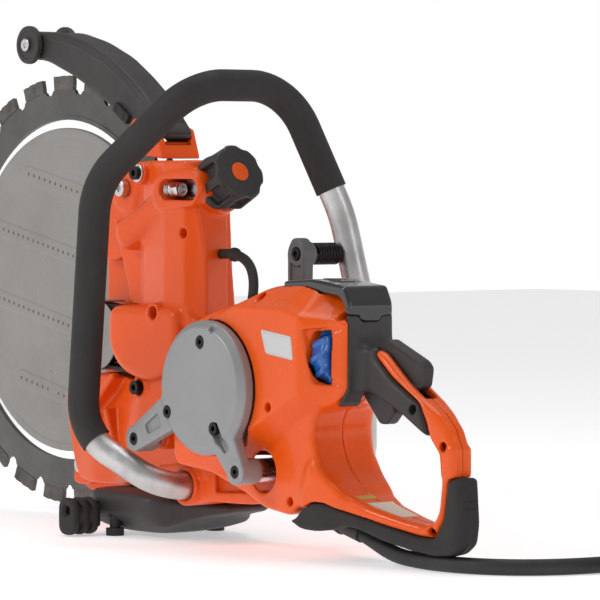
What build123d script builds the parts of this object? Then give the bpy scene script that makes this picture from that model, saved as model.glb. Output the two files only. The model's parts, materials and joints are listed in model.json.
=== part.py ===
from build123d import *
import math
import os

# Electric concrete ring saw, standing on its base skid and rear handle, in millimetres.
# +X runs from the blade to the rear handle, +Y to the tool's right (the blade side), +Z up.
# The origin is the centre of the base skid's flat rest face, on the floor.

# ---- driving dimensions -------------------------------------------------------------------
RING_X, RING_Y, RING_Z = -228.0, 52.0, 223.6     # ring blade centre
RING_OUTER_R = 212.5                             # 425 mm cutting ring
RING_INNER_R = 168.6
RING_THICK = 3.6
BEAD_OUTER_R = 173.0
BEAD_THICK = 5.0
SEGMENT_COUNT = 25
SEGMENT_INNER_R = 198.5
SEGMENT_ARC_DEG = 9.0
SEGMENT_THICK = 4.8
SEGMENT_PHASE_DEG = 91.0
GULLET_R = 7.2
DISC_R = 160.5
DISC_THICK = 4.8

DRIVE_ANGLE = -16.0                              # drive wheel's place round the ring, from +X
DRIVE_GROOVE_R = 25.7
DRIVE_FLANGE_R = 30.0
DRIVE_RHO = RING_INNER_R - 26.0
ROLLER_R = 12.0
ROLLER_RHO = BEAD_OUTER_R + ROLLER_R + 0.3
ROLLER_ANGLES = (DRIVE_ANGLE + 49.0, DRIVE_ANGLE - 49.0)

MOTOR_X, MOTOR_Z = 197.0, 148.0                  # motor axis, along Y
MOTOR_HOUSING_R = 56.0
COVER_R = 60.0
COVER_FACE_Y = -113.0
COVER_REAR_Y = -98.0
MOTOR_PULLEY_R = 20.0
DRIVEN_PULLEY_R = 27.0
BELT_Y0, BELT_Y1 = -9.0, 9.0
BELT_THICK = 3.5

TOWER_LEFT_Y, TOWER_RIGHT_Y = -18.0, 24.0
PLATE_LEFT_Y = TOWER_RIGHT_Y                     # the tower and the roller plate meet here
PLATE_RIGHT_Y = 42.0
ARM_COVER_Y0, ARM_COVER_Y1 = 62.0, 73.0

HANDLE_Y = -44.0                                 # centre plane of rear housing and rear handle
GRIP_HALF = 15.0
UPRIGHT_HALF = 11.0
PANEL_X = 352.0

TUBE_R = 12.5
GRIP_SLEEVE_R = 14.5
TUBE_INNER_R = 10.0

GUARD_HALF = 17.5
GUARD_WALL = 3.0
TIP_WHEEL_R = 19.0

KNOB_TILT = 24.0
KNOB_R = 29.0

FEET = [(-8.0, -53.0), (9.0, 53.0)]              # rubber studs under the skid

CABLE_R = 7.0
CABLE_FLOOR = CABLE_R + 0.05
CABLE_ROUTE = [(318, -44, 34), (352, -44, 21.5), (386, -46, 9.5), (424, -47, CABLE_FLOOR),
               (466, -46, CABLE_FLOOR), (502, -33, CABLE_FLOOR), (528, -5, CABLE_FLOOR),
               (541, 35, CABLE_FLOOR), (543, 92, CABLE_FLOOR)]
COIL_X, COIL_Y = 627.0, 151.0
COIL_MID_R = 84.0
COIL_HALF_WIDTH = 21.0
COIL_HEIGHT = 42.0
PLUG_X, PLUG_Y = COIL_X + COIL_MID_R - 4, COIL_Y - 64   # its collar hangs clear of the coil
PLUG_R, PLUG_COLLAR_R = 20.0, 23.0


def ring_point(rho, angle):
    """X and Z of a point at radius rho and angle (degrees) round the ring's centre."""
    a = math.radians(angle)
    return RING_X + rho * math.cos(a), RING_Z + rho * math.sin(a)


DRIVE_X, DRIVE_Z = ring_point(DRIVE_RHO, DRIVE_ANGLE)
ROLLERS = [ring_point(ROLLER_RHO, angle) for angle in ROLLER_ANGLES]


def slab(face, y0, y1):
    """A face drawn in X and Z, made solid from y0 to y1."""
    return extrude(Plane.XZ.offset(-y1) * face, amount=y1 - y0)


def outline(points, radius=0.0):
    """A closed face through the points, its corners rounded where a radius is given."""
    face = make_face(Polyline(*points, close=True))
    if radius:
        face = fillet(face.vertices(), radius)
    return face


def prism(points, y0, y1, radius=0.0):
    return slab(outline(points, radius), y0, y1)


def plan_prism(points, z0, z1, radius=0.0):
    """An outline drawn in X and Y, made solid from z0 to z1."""
    return extrude(Plane.XY.offset(z0) * outline(points, radius), amount=z1 - z0)


def rod(x, z, r, y0, y1):
    """A cylinder whose axis runs along Y."""
    return slab(Pos(x, z) * Circle(r), y0, y1)


def pipe(x, z, r_out, r_in, y0, y1):
    return slab(Pos(x, z) * (Circle(r_out) - Circle(r_in)), y0, y1)


def ring_slab(r_out, r_in, y0, y1):
    return pipe(RING_X, RING_Z, r_out, r_in, y0, y1)


def box(x0, x1, y0, y1, z0, z1):
    size = (x1 - x0, y1 - y0, z1 - z0)
    return Pos((x0 + x1) / 2, (y0 + y1) / 2, (z0 + z1) / 2) * Box(*size)


def socket_screw(plane, head_r=6.5, head_h=6.0, hex_r=3.2, shank_r=3.8, shank=14.0):
    """A socket head screw whose head sits on the plane and whose shank goes below it."""
    body = extrude(plane * Circle(head_r), amount=head_h)
    body += extrude(plane * Circle(shank_r), amount=-shank)
    socket = extrude(plane.offset(head_h - 3.5) * RegularPolygon(hex_r, 6), amount=4)
    return body - socket


def left_plane(x, y, z):
    """A plane that faces the tool's left side."""
    return Plane(origin=(x, y, z), x_dir=(1, 0, 0), z_dir=(0, -1, 0))


def right_plane(x, y, z):
    return Plane(origin=(x, y, z), x_dir=(1, 0, 0), z_dir=(0, 1, 0))


# ---- the ring blade and what drives it -----------------------------------------------------
def ring_core():
    half, bead = RING_THICK / 2, BEAD_THICK / 2
    web = ring_slab(SEGMENT_INNER_R, RING_INNER_R, RING_Y - half, RING_Y + half)
    web += ring_slab(BEAD_OUTER_R, RING_INNER_R, RING_Y - bead, RING_Y + bead)
    for i in range(SEGMENT_COUNT):
        angle = SEGMENT_PHASE_DEG + 360 / SEGMENT_COUNT * (i + 0.5)
        x, z = ring_point(SEGMENT_INNER_R + 2.5, angle)
        web -= rod(x, z, GULLET_R, RING_Y - 4, RING_Y + 4)
    return web


def ring_segments():
    half = SEGMENT_THICK / 2
    band = ring_slab(RING_OUTER_R, SEGMENT_INNER_R, RING_Y - half, RING_Y + half)
    segments = []
    reach = RING_OUTER_R + 20
    for i in range(SEGMENT_COUNT):
        angle = SEGMENT_PHASE_DEG + 360 / SEGMENT_COUNT * i
        edges = [ring_point(reach, angle + s * SEGMENT_ARC_DEG / 2) for s in (-1, 1)]
        wedge = prism([(RING_X, RING_Z)] + edges, RING_Y - 4, RING_Y + 4)
        segments += (band & wedge).solids()
    return Compound(children=segments)


def water_bar(x, z, length, tilt):
    face = Pos(x, z) * Rot(0, 0, tilt) * SlotOverall(length, 17.0)
    bar = slab(face, RING_Y - DISC_THICK / 2 - 0.7, RING_Y + DISC_THICK / 2 + 0.7)
    return bar


def centre_disc():
    half = DISC_THICK / 2
    disc = rod(RING_X, RING_Z, DISC_R, RING_Y - half, RING_Y + half)
    for x, z, length in DISC_BARS:
        disc += water_bar(x, z, length, DISC_BAR_TILT)
    disc -= rod(DRIVE_X, DRIVE_Z, DRIVE_FLANGE_R + 4, RING_Y - 9, RING_Y + 9)
    return disc


DISC_BAR_TILT = -12.0
DISC_BARS = [(RING_X - 12, RING_Z + 104, 120), (RING_X - 8, RING_Z + 38, 235),
             (RING_X - 12, RING_Z - 32, 225), (RING_X - 30, RING_Z - 100, 110)]


def drive_wheel():
    wheel = rod(DRIVE_X, DRIVE_Z, DRIVE_FLANGE_R, RING_Y - 8, RING_Y + 8)
    groove = pipe(DRIVE_X, DRIVE_Z, DRIVE_FLANGE_R + 1, DRIVE_GROOVE_R, RING_Y - 2.9, RING_Y + 2.9)
    return wheel - groove - rod(DRIVE_X, DRIVE_Z, 9.0, RING_Y - 9, RING_Y + 9)


def drive_shaft():
    shaft = rod(DRIVE_X, DRIVE_Z, 9.0, BELT_Y0 - 2, RING_Y + 8)
    head = rod(DRIVE_X, DRIVE_Z, 8.0, RING_Y + 8, RING_Y + 9.5)
    return shaft + head


def driven_pulley():
    pulley = rod(DRIVE_X, DRIVE_Z, DRIVEN_PULLEY_R - 0.3, BELT_Y0, BELT_Y1)
    pulley += rod(DRIVE_X, DRIVE_Z, DRIVEN_PULLEY_R + 2, BELT_Y0 - 2, BELT_Y0)
    return pulley - rod(DRIVE_X, DRIVE_Z, 9.0, BELT_Y0 - 3, BELT_Y1 + 1)


def shaft_bearings():
    rings = []
    for y in (15.0, 33.0):
        rings.append(pipe(DRIVE_X, DRIVE_Z, 18.0, 9.05, y - 4, y + 4))
    for y in (-90.0, -24.0):
        rings.append(pipe(MOTOR_X, MOTOR_Z, 16.0, 8.05, y - 4, y + 4))
    return Compound(children=[s for r in rings for s in r.solids()])


def belt_loop(grow, y0, y1):
    """The band round both pulleys, grown outwards by a distance."""
    return slab(belt_face(grow), y0, y1)


def belt_face(grow):
    dx, dz = MOTOR_X - DRIVE_X, MOTOR_Z - DRIVE_Z
    span = math.hypot(dx, dz)
    r0, r1 = DRIVEN_PULLEY_R + grow, MOTOR_PULLEY_R + grow
    along = math.atan2(dz, dx)
    lean = math.acos((r0 - r1) / span)
    a, b = along + lean, along - lean
    quad = [(DRIVE_X + r0 * math.cos(a), DRIVE_Z + r0 * math.sin(a)),
            (MOTOR_X + r1 * math.cos(a), MOTOR_Z + r1 * math.sin(a)),
            (MOTOR_X + r1 * math.cos(b), MOTOR_Z + r1 * math.sin(b)),
            (DRIVE_X + r0 * math.cos(b), DRIVE_Z + r0 * math.sin(b))]
    return outline(quad) + Pos(DRIVE_X, DRIVE_Z) * Circle(r0) + Pos(MOTOR_X, MOTOR_Z) * Circle(r1)


def drive_belt():
    return belt_loop(BELT_THICK, BELT_Y0 + 0.5, BELT_Y1) - belt_loop(0.0, BELT_Y0 - 1, BELT_Y1 + 1)


def motor_pulley():
    pulley = rod(MOTOR_X, MOTOR_Z, MOTOR_PULLEY_R - 0.3, BELT_Y0, BELT_Y1)
    return pulley - rod(MOTOR_X, MOTOR_Z, 8.0, BELT_Y0 - 1, BELT_Y1 + 1)


def motor_rotor():
    shaft = rod(MOTOR_X, MOTOR_Z, 8.0, -94.0, BELT_Y1 + 3)
    return shaft + rod(MOTOR_X, MOTOR_Z, 24.0, -80.0, -36.0)


def motor_stator():
    stator = pipe(MOTOR_X, MOTOR_Z, 50.0, 25.0, -82.0, -34.0)
    for i in range(12):
        a = math.radians(30 * i)
        x, z = MOTOR_X + 29 * math.cos(a), MOTOR_Z + 29 * math.sin(a)
        stator -= rod(x, z, 2.6, -83.0, -33.0)
    return stator


def roller(x, z, side):
    """A guide roller beside the ring's web, on the side given (-1 left, +1 right)."""
    inner = RING_Y + side * (RING_THICK / 2 + 0.4)
    outer = RING_Y + side * 9.0
    y0, y1 = sorted((inner, outer))
    return pipe(x, z, ROLLER_R, 6.06, y0, y1)


def roller_axles():
    pins = []
    for x, z in ROLLERS:
        left = rod(x, z, 6.0, TOWER_RIGHT_Y, RING_Y - RING_THICK / 2 - 0.4)
        left += rod(x, z, 8.0, 8.5, TOWER_RIGHT_Y)
        left -= rod(x, z, 3.5, 8.0, 11.0)
        right = rod(x, z, 6.0, RING_Y + RING_THICK / 2 + 0.4, ARM_COVER_Y1)
        right += rod(x, z, 9.0, ARM_COVER_Y1, ARM_COVER_Y1 + 6)
        pins += left.solids() + right.solids()
    return Compound(children=pins)


# ---- the tower that carries the ring -------------------------------------------------------
TOWER_SIDE = [(-62, 346), (-40, 352), (16, 352), (58, 338), (62, 312), (46, 300), (52, 262), (50, 205),
              (60, 196), (60, 60), (30, 44), (-118, 44), (-140, 62), (-138, 120), (-112, 150),
              (-70, 152),
              (-72, 236), (-40, 246), (-46, 288), (-62, 300)]
PLATE_SIDE = [(-92, 346), (-60, 352), (10, 352), (46, 322), (50, 250), (56, 200), (56, 60), (24, 44),
              (-58, 44), (-104, 34), (-150, 30), (-172, 44), (-172, 66), (-146, 92), (-130, 140),
              (-124, 170), (-124, 318)]
ARM_SIDE = [(55, 205), (55, 110), (225, 100), (258, 128), (258, 170), (225, 194)]


def belt_room():
    return belt_loop(BELT_THICK + 5, TOWER_LEFT_Y + 5, TOWER_RIGHT_Y - 6)


def tower_casting():
    body = prism(TOWER_SIDE, TOWER_LEFT_Y, TOWER_RIGHT_Y, 5.0)
    left_slope = plan_prism([(-150, 8), (-100, -18), (16, -18), (46, 2), (64, 10), (64, 24),
                             (-150, 24)],
                            30, 360, 2.0)
    body = body & left_slope
    body += prism(ARM_SIDE, -16, 14, 8.0)
    barrel_end = rod(-12, 321, 16.0, TOWER_LEFT_Y - 2, 0)
    body += Pos(-40, 2, 321) * Rot(0, 90, 0) * Cylinder(17, 60)
    body += barrel_end + extrude(knob_plane(-6) * Circle(26), amount=26)
    body += rod(LEG_POST[0], LEG_POST[1], 11.0, COVER_REAR_Y + 20, 12)
    body -= rod(LEG_POST[0], LEG_POST[1], 3.1, COVER_REAR_Y + 19, -60)
    body -= belt_room()
    body -= rod(DRIVE_X, DRIVE_Z, 34.0, TOWER_LEFT_Y + 5, TOWER_RIGHT_Y + 1)
    body -= rod(MOTOR_X, MOTOR_Z, 8.6, -20, 20)
    body -= Pos(33.5, -12, 321) * Rot(90, 0, 0) * extrude(SlotOverall(60, 18), amount=16, both=True)
    body -= rod(53, 288, 4.0, TOWER_LEFT_Y - 1, 10)
    body -= rod(-28, 212, 5.0, TOWER_LEFT_Y - 1, -6)
    for x, z in ROLLERS:
        body -= rod(x, z, 9.5, TOWER_LEFT_Y - 12, TOWER_RIGHT_Y + 1)
    for plane in tower_screw_planes():
        body -= extrude(plane * Circle(3.9), amount=-16)
        body -= extrude(plane * Circle(7.0), amount=8)
    body -= knob_stud_hole()
    body -= box(-200, 100, PLATE_LEFT_Y, 80, 30, 380)
    return body.solids().sort_by(SortBy.VOLUME)[-1]


def tower_screw_planes():
    return [left_plane(-18, TOWER_LEFT_Y, 346 - 7), left_plane(-18, TOWER_LEFT_Y, 137)]


def roller_plate():
    plate = prism(PLATE_SIDE, TOWER_RIGHT_Y, PLATE_RIGHT_Y, 6.0)
    for x, z in ROLLERS:
        plate += rod(x, z, 24.0, TOWER_RIGHT_Y, PLATE_RIGHT_Y)
    for x, z in DISC_BOSSES:
        plate += rod(x, z, 8.0, PLATE_RIGHT_Y, RING_Y - DISC_THICK / 2)
    for x, z in SPACERS:
        plate += rod(x, z, 10.0, PLATE_RIGHT_Y, ARM_COVER_Y0)
    plate -= rod(DRIVE_X, DRIVE_Z, 18.0, TOWER_RIGHT_Y - 1, PLATE_RIGHT_Y - 5)
    plate -= rod(DRIVE_X, DRIVE_Z, 10.0, TOWER_RIGHT_Y - 1, PLATE_RIGHT_Y + 1)
    for x, z in ROLLERS:
        plate -= rod(x, z, 6.0, TOWER_RIGHT_Y - 1, PLATE_RIGHT_Y + 1)
    plate -= extrude(knob_plane(-30) * Circle(6.06), amount=60)
    plate -= extrude(knob_plane(-2) * Circle(30), amount=60)
    return plate


DISC_BOSSES = [(-112, 232), (-116, 140)]
SPACERS = [(-2, 322), (2, 120)]
ARM_COVER_SIDE = [(-95, 340), (-60, 346), (4, 336), (8, 300), (4, 140), (10, 100), (-10, 92),
                  (-70, 110),
                  (-120, 34), (-165, 34), (-168, 74), (-112, 140), (-112, 290)]


def right_arm_cover():
    cover = prism(ARM_COVER_SIDE, ARM_COVER_Y0, ARM_COVER_Y1, 6.0)
    cover = chamfer(cover.faces().sort_by(Axis.Y)[-1].edges(), 2.5)
    for x, z in ROLLERS:
        cover -= rod(x, z, 6.0, ARM_COVER_Y0 - 1, ARM_COVER_Y1 + 1)
    for x, z in SPACERS:
        cover -= rod(x, z, 4.2, ARM_COVER_Y0 - 1, ARM_COVER_Y1 + 1)
    return cover


def knob_plane(distance):
    """A plane across the clamp knob's axis, at a distance from the tower's rear face."""
    tilt = math.radians(KNOB_TILT)
    axis = Vector(math.cos(tilt), 0, math.sin(tilt))
    start = Vector(*KNOB_START)
    return Plane(origin=start + axis * distance, x_dir=(0, 1, 0), z_dir=axis)


KNOB_START = (46.0, 14.0, 318.0)


def knob_stud_hole():
    return extrude(knob_plane(-20) * Circle(6.06), amount=60)


def clamp_knob():
    knob = extrude(knob_plane(21) * Circle(KNOB_R), amount=34, taper=3)
    for i in range(8):
        a = math.radians(45 * i)
        centre = Pos((KNOB_R + 3) * math.cos(a), (KNOB_R + 3) * math.sin(a))
        knob -= extrude(knob_plane(30) * centre * Circle(7.0), amount=30)
    knob += extrude(knob_plane(-12) * Circle(6.0), amount=34)
    return knob


def frame_screws():
    screws = [socket_screw(plane) for plane in tower_screw_planes()]
    for x, z in SPACERS:
        screws.append(socket_screw(right_plane(x, ARM_COVER_Y1, z), shank=10.0))
    return Compound(children=[s for screw in screws for s in screw.solids()])


def slot_bolt():
    along = Plane(origin=(18, -8, 321), x_dir=(0, 1, 0), z_dir=(1, 0, 0))
    bolt = extrude(along * Circle(8.0), amount=2.0)
    bolt += extrude(along.offset(2.0) * RegularPolygon(7.2, 6), amount=7.0)
    bolt += extrude(along.offset(-8) * Circle(4.0), amount=28.0)
    return bolt


# ---- the blade guard -----------------------------------------------------------------------
def guard_outline(inset):
    """The guard's side view: a band that follows the ring's edge and straightens at its tip."""
    outer, inner = 247.0 - inset, 203.0
    low, turn = 41.0, 74.0
    a0, a1, am = (math.radians(v) for v in (low, turn, (low + turn) / 2))
    arc_out = ThreePointArc(*[(RING_X + outer * math.cos(a), RING_Z + outer * math.sin(a))
                              for a in (a0, am, a1)])
    arc_in = ThreePointArc(*[(RING_X + inner * math.cos(a), RING_Z + inner * math.sin(a))
                             for a in (a0, am, a1)])
    tip_top, tip_low = (RING_X - 22, RING_Z + 256 - inset), (RING_X - 20, RING_Z + 230)
    top = Spline(arc_out @ 1, (RING_X + 22, RING_Z + 253.5 - inset), tip_top)
    bottom = Spline(tip_low, (RING_X + 22, RING_Z + 216), arc_in @ 1)
    return make_face([arc_out, top, Line(tip_top, tip_low), bottom, arc_in,
                      Line(arc_in @ 0, arc_out @ 0)])


def guard_shell():
    shell = slab(guard_outline(0.0), RING_Y - GUARD_HALF, RING_Y + GUARD_HALF)
    top_edges = shell.edges().filter_by(lambda e: abs(e.center().Y - RING_Y) > GUARD_HALF - 0.1)
    top_edges = [e for e in top_edges if e.length > 60 and
                 math.hypot(e.center().X - RING_X, e.center().Z - RING_Z) > 236]
    shell = fillet(top_edges, 7.0)
    hollow = slab(guard_outline(4.0), RING_Y - GUARD_HALF + GUARD_WALL,
                  RING_Y + GUARD_HALF - GUARD_WALL)
    floor_cut = ring_slab(RING_OUTER_R + 3, 190, RING_Y - 14, RING_Y + 14)
    shell -= hollow & prism([(RING_X - 19, 380), (RING_X - 19, 520), (0, 520), (0, 330), (RING_X, 330)],
                            RING_Y - 30, RING_Y + 30)
    shell -= floor_cut
    boss = rod(RING_X - 34, RING_Z + 243, 9.0, RING_Y - 12, RING_Y + 12)
    boss += box(RING_X - 34, RING_X - 18, RING_Y - 10, RING_Y + 10, RING_Z + 236, RING_Z + 252)
    shell += boss
    return shell - rod(RING_X - 34, RING_Z + 243, 4.1, RING_Y - 30, RING_Y + 30)


BLOCK = [(-76, 357), (-42, 353), (-51, 379), (-86, 392), (-96, 384)]


def guard_holder():
    block = prism(BLOCK, RING_Y - 23, RING_Y + 23, 3.0)
    block -= ring_slab(RING_OUTER_R + 3, 190, RING_Y - 5, RING_Y + 5)
    return block - slab(guard_outline(-0.2), RING_Y - GUARD_HALF - 0.2, RING_Y + GUARD_HALF + 0.2)


def guard_clip():
    """The black retaining clips, one on the guard's back over the holder and one on its left side."""
    back = Plane(origin=(-52, RING_Y, 380), x_dir=(0, 1, 0), z_dir=(0.62, 0, 0.78))
    strip = extrude(back.offset(2.5) * RectangleRounded(30, 9, 2), amount=4.0)
    x, z = ring_point(206, 55)
    side = Plane(origin=(x, RING_Y - GUARD_HALF, z), x_dir=(0.72, 0, -0.69), z_dir=(0, -1, 0))
    hook = extrude(side * RectangleRounded(26, 8, 2), amount=4.0)
    guard = slab(guard_outline(0.0), RING_Y - GUARD_HALF, RING_Y + GUARD_HALF)
    return Compound(children=(strip - guard).solids() + (hook - guard).solids())


TIP_X, TIP_Z = RING_X - 34, RING_Z + 243


def tip_axle():
    pin = rod(TIP_X, TIP_Z, 4.0, RING_Y - 25.5, RING_Y + 25.5)
    for y in (RING_Y - 28.0, RING_Y + 25.5):
        pin += rod(TIP_X, TIP_Z, 6.5, y, y + 2.5)
    return pin


def tip_wheel(side):
    y = RING_Y + side * 21.8
    return pipe(TIP_X, TIP_Z, TIP_WHEEL_R, 4.06, y - 3.4, y + 3.4)


# ---- motor and cover -----------------------------------------------------------------------
def motor_housing():
    shell = rod(MOTOR_X, MOTOR_Z, MOTOR_HOUSING_R, -97.9, -16.1)
    shell -= rod(MOTOR_X, MOTOR_Z, 50.0, -86, -34)
    shell -= rod(MOTOR_X, MOTOR_Z, 16.0, -94, -20)
    shell -= rod(MOTOR_X, MOTOR_Z, 8.6, -95, -10)
    for i in range(8):
        a = math.radians(45 * i + 22.5)
        fin = Pos(MOTOR_X + 55 * math.cos(a), -60, MOTOR_Z + 55 * math.sin(a)) * Cylinder(2.0, 10)
        shell -= fin
    return shell


LEGS = [((150, 126), (95, 98)), ((222, 108), (243, 76))]
LEG_POST = LEGS[0][1]
COVER_SCREWS = [(198, 189), (150, 125), (217, 113)]


def leg_face(start, end, width):
    dx, dz = end[0] - start[0], end[1] - start[1]
    length = math.hypot(dx, dz)
    nx, nz = -dz / length, dx / length
    quad = [(start[0] + nx * width * 1.3, start[1] + nz * width * 1.3),
            (end[0] + nx * width, end[1] + nz * width),
            (end[0] - nx * width, end[1] - nz * width), (start[0] - nx * width * 1.3,
                                                         start[1] - nz * width * 1.3)]
    return outline(quad) + Pos(*end) * Circle(width)


def round_cover():
    cover = rod(MOTOR_X, MOTOR_Z, COVER_R, COVER_FACE_Y, COVER_REAR_Y)
    cover = chamfer(cover.edges().filter_by(GeomType.CIRCLE).sort_by(Axis.Y)[0], 6.0)
    for start, end in LEGS:
        leg = slab(leg_face(start, end, 12.0), COVER_FACE_Y + 5, COVER_REAR_Y)
        cover += leg
    for x, z in (LEGS[0][1], LEGS[1][1]):
        cover += rod(x, z, 12.0, COVER_REAR_Y, COVER_REAR_Y + 12)
    cover += rod(LEG_POST[0], LEG_POST[1], 12.0, COVER_REAR_Y + 12, COVER_REAR_Y + 20)
    for x, z in COVER_SCREWS:
        cover -= rod(x, z, 5.6, COVER_FACE_Y - 1, COVER_FACE_Y + 5)
        cover -= rod(x, z, 3.1, COVER_FACE_Y - 1, COVER_REAR_Y + 1)
    for start, end in LEGS:
        cover -= rod(end[0], end[1], 5.6, COVER_FACE_Y, COVER_FACE_Y + 9)
        cover -= rod(end[0], end[1], 3.1, COVER_FACE_Y, COVER_REAR_Y + 21)
    return cover


def cover_screws():
    screws = []
    for x, z in COVER_SCREWS:
        plane = left_plane(x, COVER_FACE_Y + 5, z)
        screws.append(socket_screw(plane, 5.4, 4.6, 2.6, 3.0, 9.8))
    for start, end in LEGS:
        plane = left_plane(end[0], COVER_FACE_Y + 9, end[1])
        screws.append(socket_screw(plane, 5.4, 4.6, 2.6, 3.0, 17.5))
    return Compound(children=[s for screw in screws for s in screw.solids()])


def leg_nut():
    """The spacer and hexagon nut behind the cover's rear leg."""
    x, z = LEGS[1][1]
    spacer = pipe(x, z, 10.5, 3.1, COVER_REAR_Y + 12, -64)
    nut = slab(Pos(x, z) * (RegularPolygon(12, 6) - Circle(3.1)), -64, BRACKET_LEFT_Y)
    return spacer + nut


# ---- rear housing and rear handle ----------------------------------------------------------
HOUSING_SIDE = [(140, 78), (132, 150), (148, 204), (165, 214), (228, 226), (250, 238), (290, 240),
                (343, 234),
                (PANEL_X - 4, 222), (PANEL_X - 4, 150), (336, 137), (318, 130), (314, 100), (320, 78),
                (340, 62), (340, 50), (298, 52), (280, 46), (269, 34), (244, 43), (219, 54)]
HOUSING_PLAN = [(125, 10), (240, 10), (310, -5), (PANEL_X, -15.5), (PANEL_X, -72.5), (316, -97.9),
                (125, -97.9)]
BAR_SIDE = [(312, 84), (322, 70), (342, 60), (372, 50), (433, 41), (446, 44), (450, 60), (451, 96),
            (470, 108),
            (470, 82), (465, 78), (459, 45), (448, 29), (430, 29), (377, 40), (317, 49), (300, 51)]
BAR_PLAN = [(300, -4), (322, -7), (372, -22), (433, -31), (490, -32), (490, -56), (433, -57),
            (372, -66),
            (322, -81), (300, -84)]
STRIP_SIDE = [(373, 187), (416, 158), (452, 135), (463, 124), (470, 108), (470, 84), (451, 84),
              (449, 100),
              (439, 115), (438, 126), (430, 142), (395, 162), (373, 180)]
RUBBER_SIDE = [(269, 34), (280, 46), (298, 52), (317, 49), (377, 40), (430, 29), (448, 29), (459, 45),
               (465, 78), (480, 80), (483, 42), (480, 24), (466, 15), (432, 17), (362, 31), (336, 31),
               (318, 26), (300, 27)]


def housing_body():
    body = prism(HOUSING_SIDE, -110, 30, 2.0)
    body = body & plan_prism(HOUSING_PLAN, 0, 300, 4.0)
    return body


def handle_body():
    bar = prism(BAR_SIDE, -110, 30) & plan_prism(BAR_PLAN, 0, 130, 2.0)
    strip = prism(STRIP_SIDE, HANDLE_Y - GRIP_HALF, HANDLE_Y + GRIP_HALF, 1.5)
    taper = plan_prism([(360, HANDLE_Y - GRIP_HALF), (436, HANDLE_Y - GRIP_HALF),
                        (458, HANDLE_Y - UPRIGHT_HALF),
                        (480, HANDLE_Y - UPRIGHT_HALF), (480, HANDLE_Y + UPRIGHT_HALF),
                        (458, HANDLE_Y + UPRIGHT_HALF), (436, HANDLE_Y + GRIP_HALF),
                        (360, HANDLE_Y + GRIP_HALF)], 60, 220, 1.0)
    return bar + (strip & taper)


def housing_room():
    """The hollow inside the rear housing."""
    side = [(146, 84), (138, 150), (152, 200), (167, 210), (229, 222), (251, 232), (290, 232),
            (338, 226),
            (342, 216), (342, 152), (330, 142), (310, 134), (304, 100), (306, 84), (300, 62), (268, 44),
            (246, 49), (221, 60)]
    plan = [(128, 6), (239, 6), (309, -9), (346, -20), (346, -68), (312, -94.5), (128, -94.5)]
    return prism(side, -110, 30, 3.0) & plan_prism(plan, 0, 300, 3.0)


def motor_window():
    return rod(MOTOR_X, MOTOR_Z, COVER_R + 1.0, -120, -50)


WHEEL_X, WHEEL_Y, WHEEL_Z = 327.0, -64.0, 179.0
WHEEL_R = 25.0
WHEEL_HALF = 8.0
SHELL_HOLES = [(186, 206), (250, 229), (343, 215), (268, 134), (286, 58), (423, 137), (459, 107),
               (443, 34)]


def rear_shell(side):
    """One half shell of rear housing and handle: side -1 is the left one, +1 the right one."""
    shell = housing_body() - housing_room() + handle_body()
    shell -= rod(MOTOR_X, MOTOR_Z, MOTOR_HOUSING_R + 0.6, -120, 30)
    if side < 0:
        shell = shell & box(100, 500, -130, HANDLE_Y, 0, 300)
        shell -= motor_window()
        window = [(312, 158), (338, 155), (339, 206), (314, 202)]
        shell -= prism(window, -100, -60, 3.0)
        shell -= prism(LABEL_SIDE, LABEL_Y, LABEL_Y + 1.2, 3.0)
        for start, end in LEGS:
            shell -= rod(end[0], end[1], 13.0, -110, HANDLE_Y + 1)
    else:
        shell = shell & box(100, 500, HANDLE_Y, 40, 0, 300)
        shell -= prism(ARM_SIDE, -17, 31)
    shell -= rod(243, 76, 22.0, -110, -52)
    for x, z in SHELL_HOLES:
        shell -= rod(x, z, 4.2, -110, -56)
    shell -= trigger_pocket()
    shell -= lockout_pocket()
    shell -= top_panel_room()
    shell -= cable_gland_room()
    shell -= knock_out_arm()
    shell -= bracket_foot_room()
    shell -= prism(RUBBER_SIDE, -110, 30)
    shell -= Pos(BUTTON_X, HANDLE_Y, 236) * Cylinder(4.6, 30)
    return shell.solids().sort_by(SortBy.VOLUME)[-1]


LABEL_SIDE = [(266, 202), (308, 197), (311, 176), (273, 181)]
LABEL_Y = -98.0


def knock_out_arm():
    return box(120, 290, -75, 45, 30, 81)


def bracket_foot_room():
    return box(172, 204, -6, 26, 200, 245)


PANEL_TOP = [(262, 244), (262, 236.5), (290, 236.5), (338, 231), (344, 222), (344, 216), (PANEL_X, 216),
             (PANEL_X, 224), (345, 240), (300, 246)]


def top_panel_room():
    return prism(PANEL_TOP, HANDLE_Y - 25.3, HANDLE_Y + 25.3)


def top_panel():
    panel = prism(PANEL_TOP, HANDLE_Y - 25, HANDLE_Y + 25)
    panel -= Pos(BUTTON_X, HANDLE_Y, 240) * Cylinder(8.4, 30)
    return panel


BUTTON_X = 300.0


def power_button():
    cap = Pos(BUTTON_X, HANDLE_Y, 242.5) * Cylinder(8.0, 8)
    return cap + Pos(BUTTON_X, HANDLE_Y, 236) * Cylinder(4.0, 8)


def rear_panel():
    side = [(PANEL_X - 4, 215.7), (PANEL_X - 4, 150), (336, 137), (346, 136), (355, 150),
            (PANEL_X, 215.7)]
    panel = prism(side, HANDLE_Y - 28.5, HANDLE_Y + 28.5)
    neck = prism([(PANEL_X - 4, 197), (PANEL_X - 4, 150), (362, 154), (362, 190)], HANDLE_Y - 19,
                 HANDLE_Y + 19, 1.0)
    panel += neck
    return panel - trigger_pocket() - lockout_pocket()


def grip_insert():
    side = [(362, 190), (372.8, 186), (373, 180), (395, 162), (430, 142), (438, 126), (439, 115),
            (404, 133), (362, 150)]
    insert = prism(side, HANDLE_Y - GRIP_HALF, HANDLE_Y + GRIP_HALF)
    return insert - trigger_pocket() - lockout_pocket()


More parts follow.
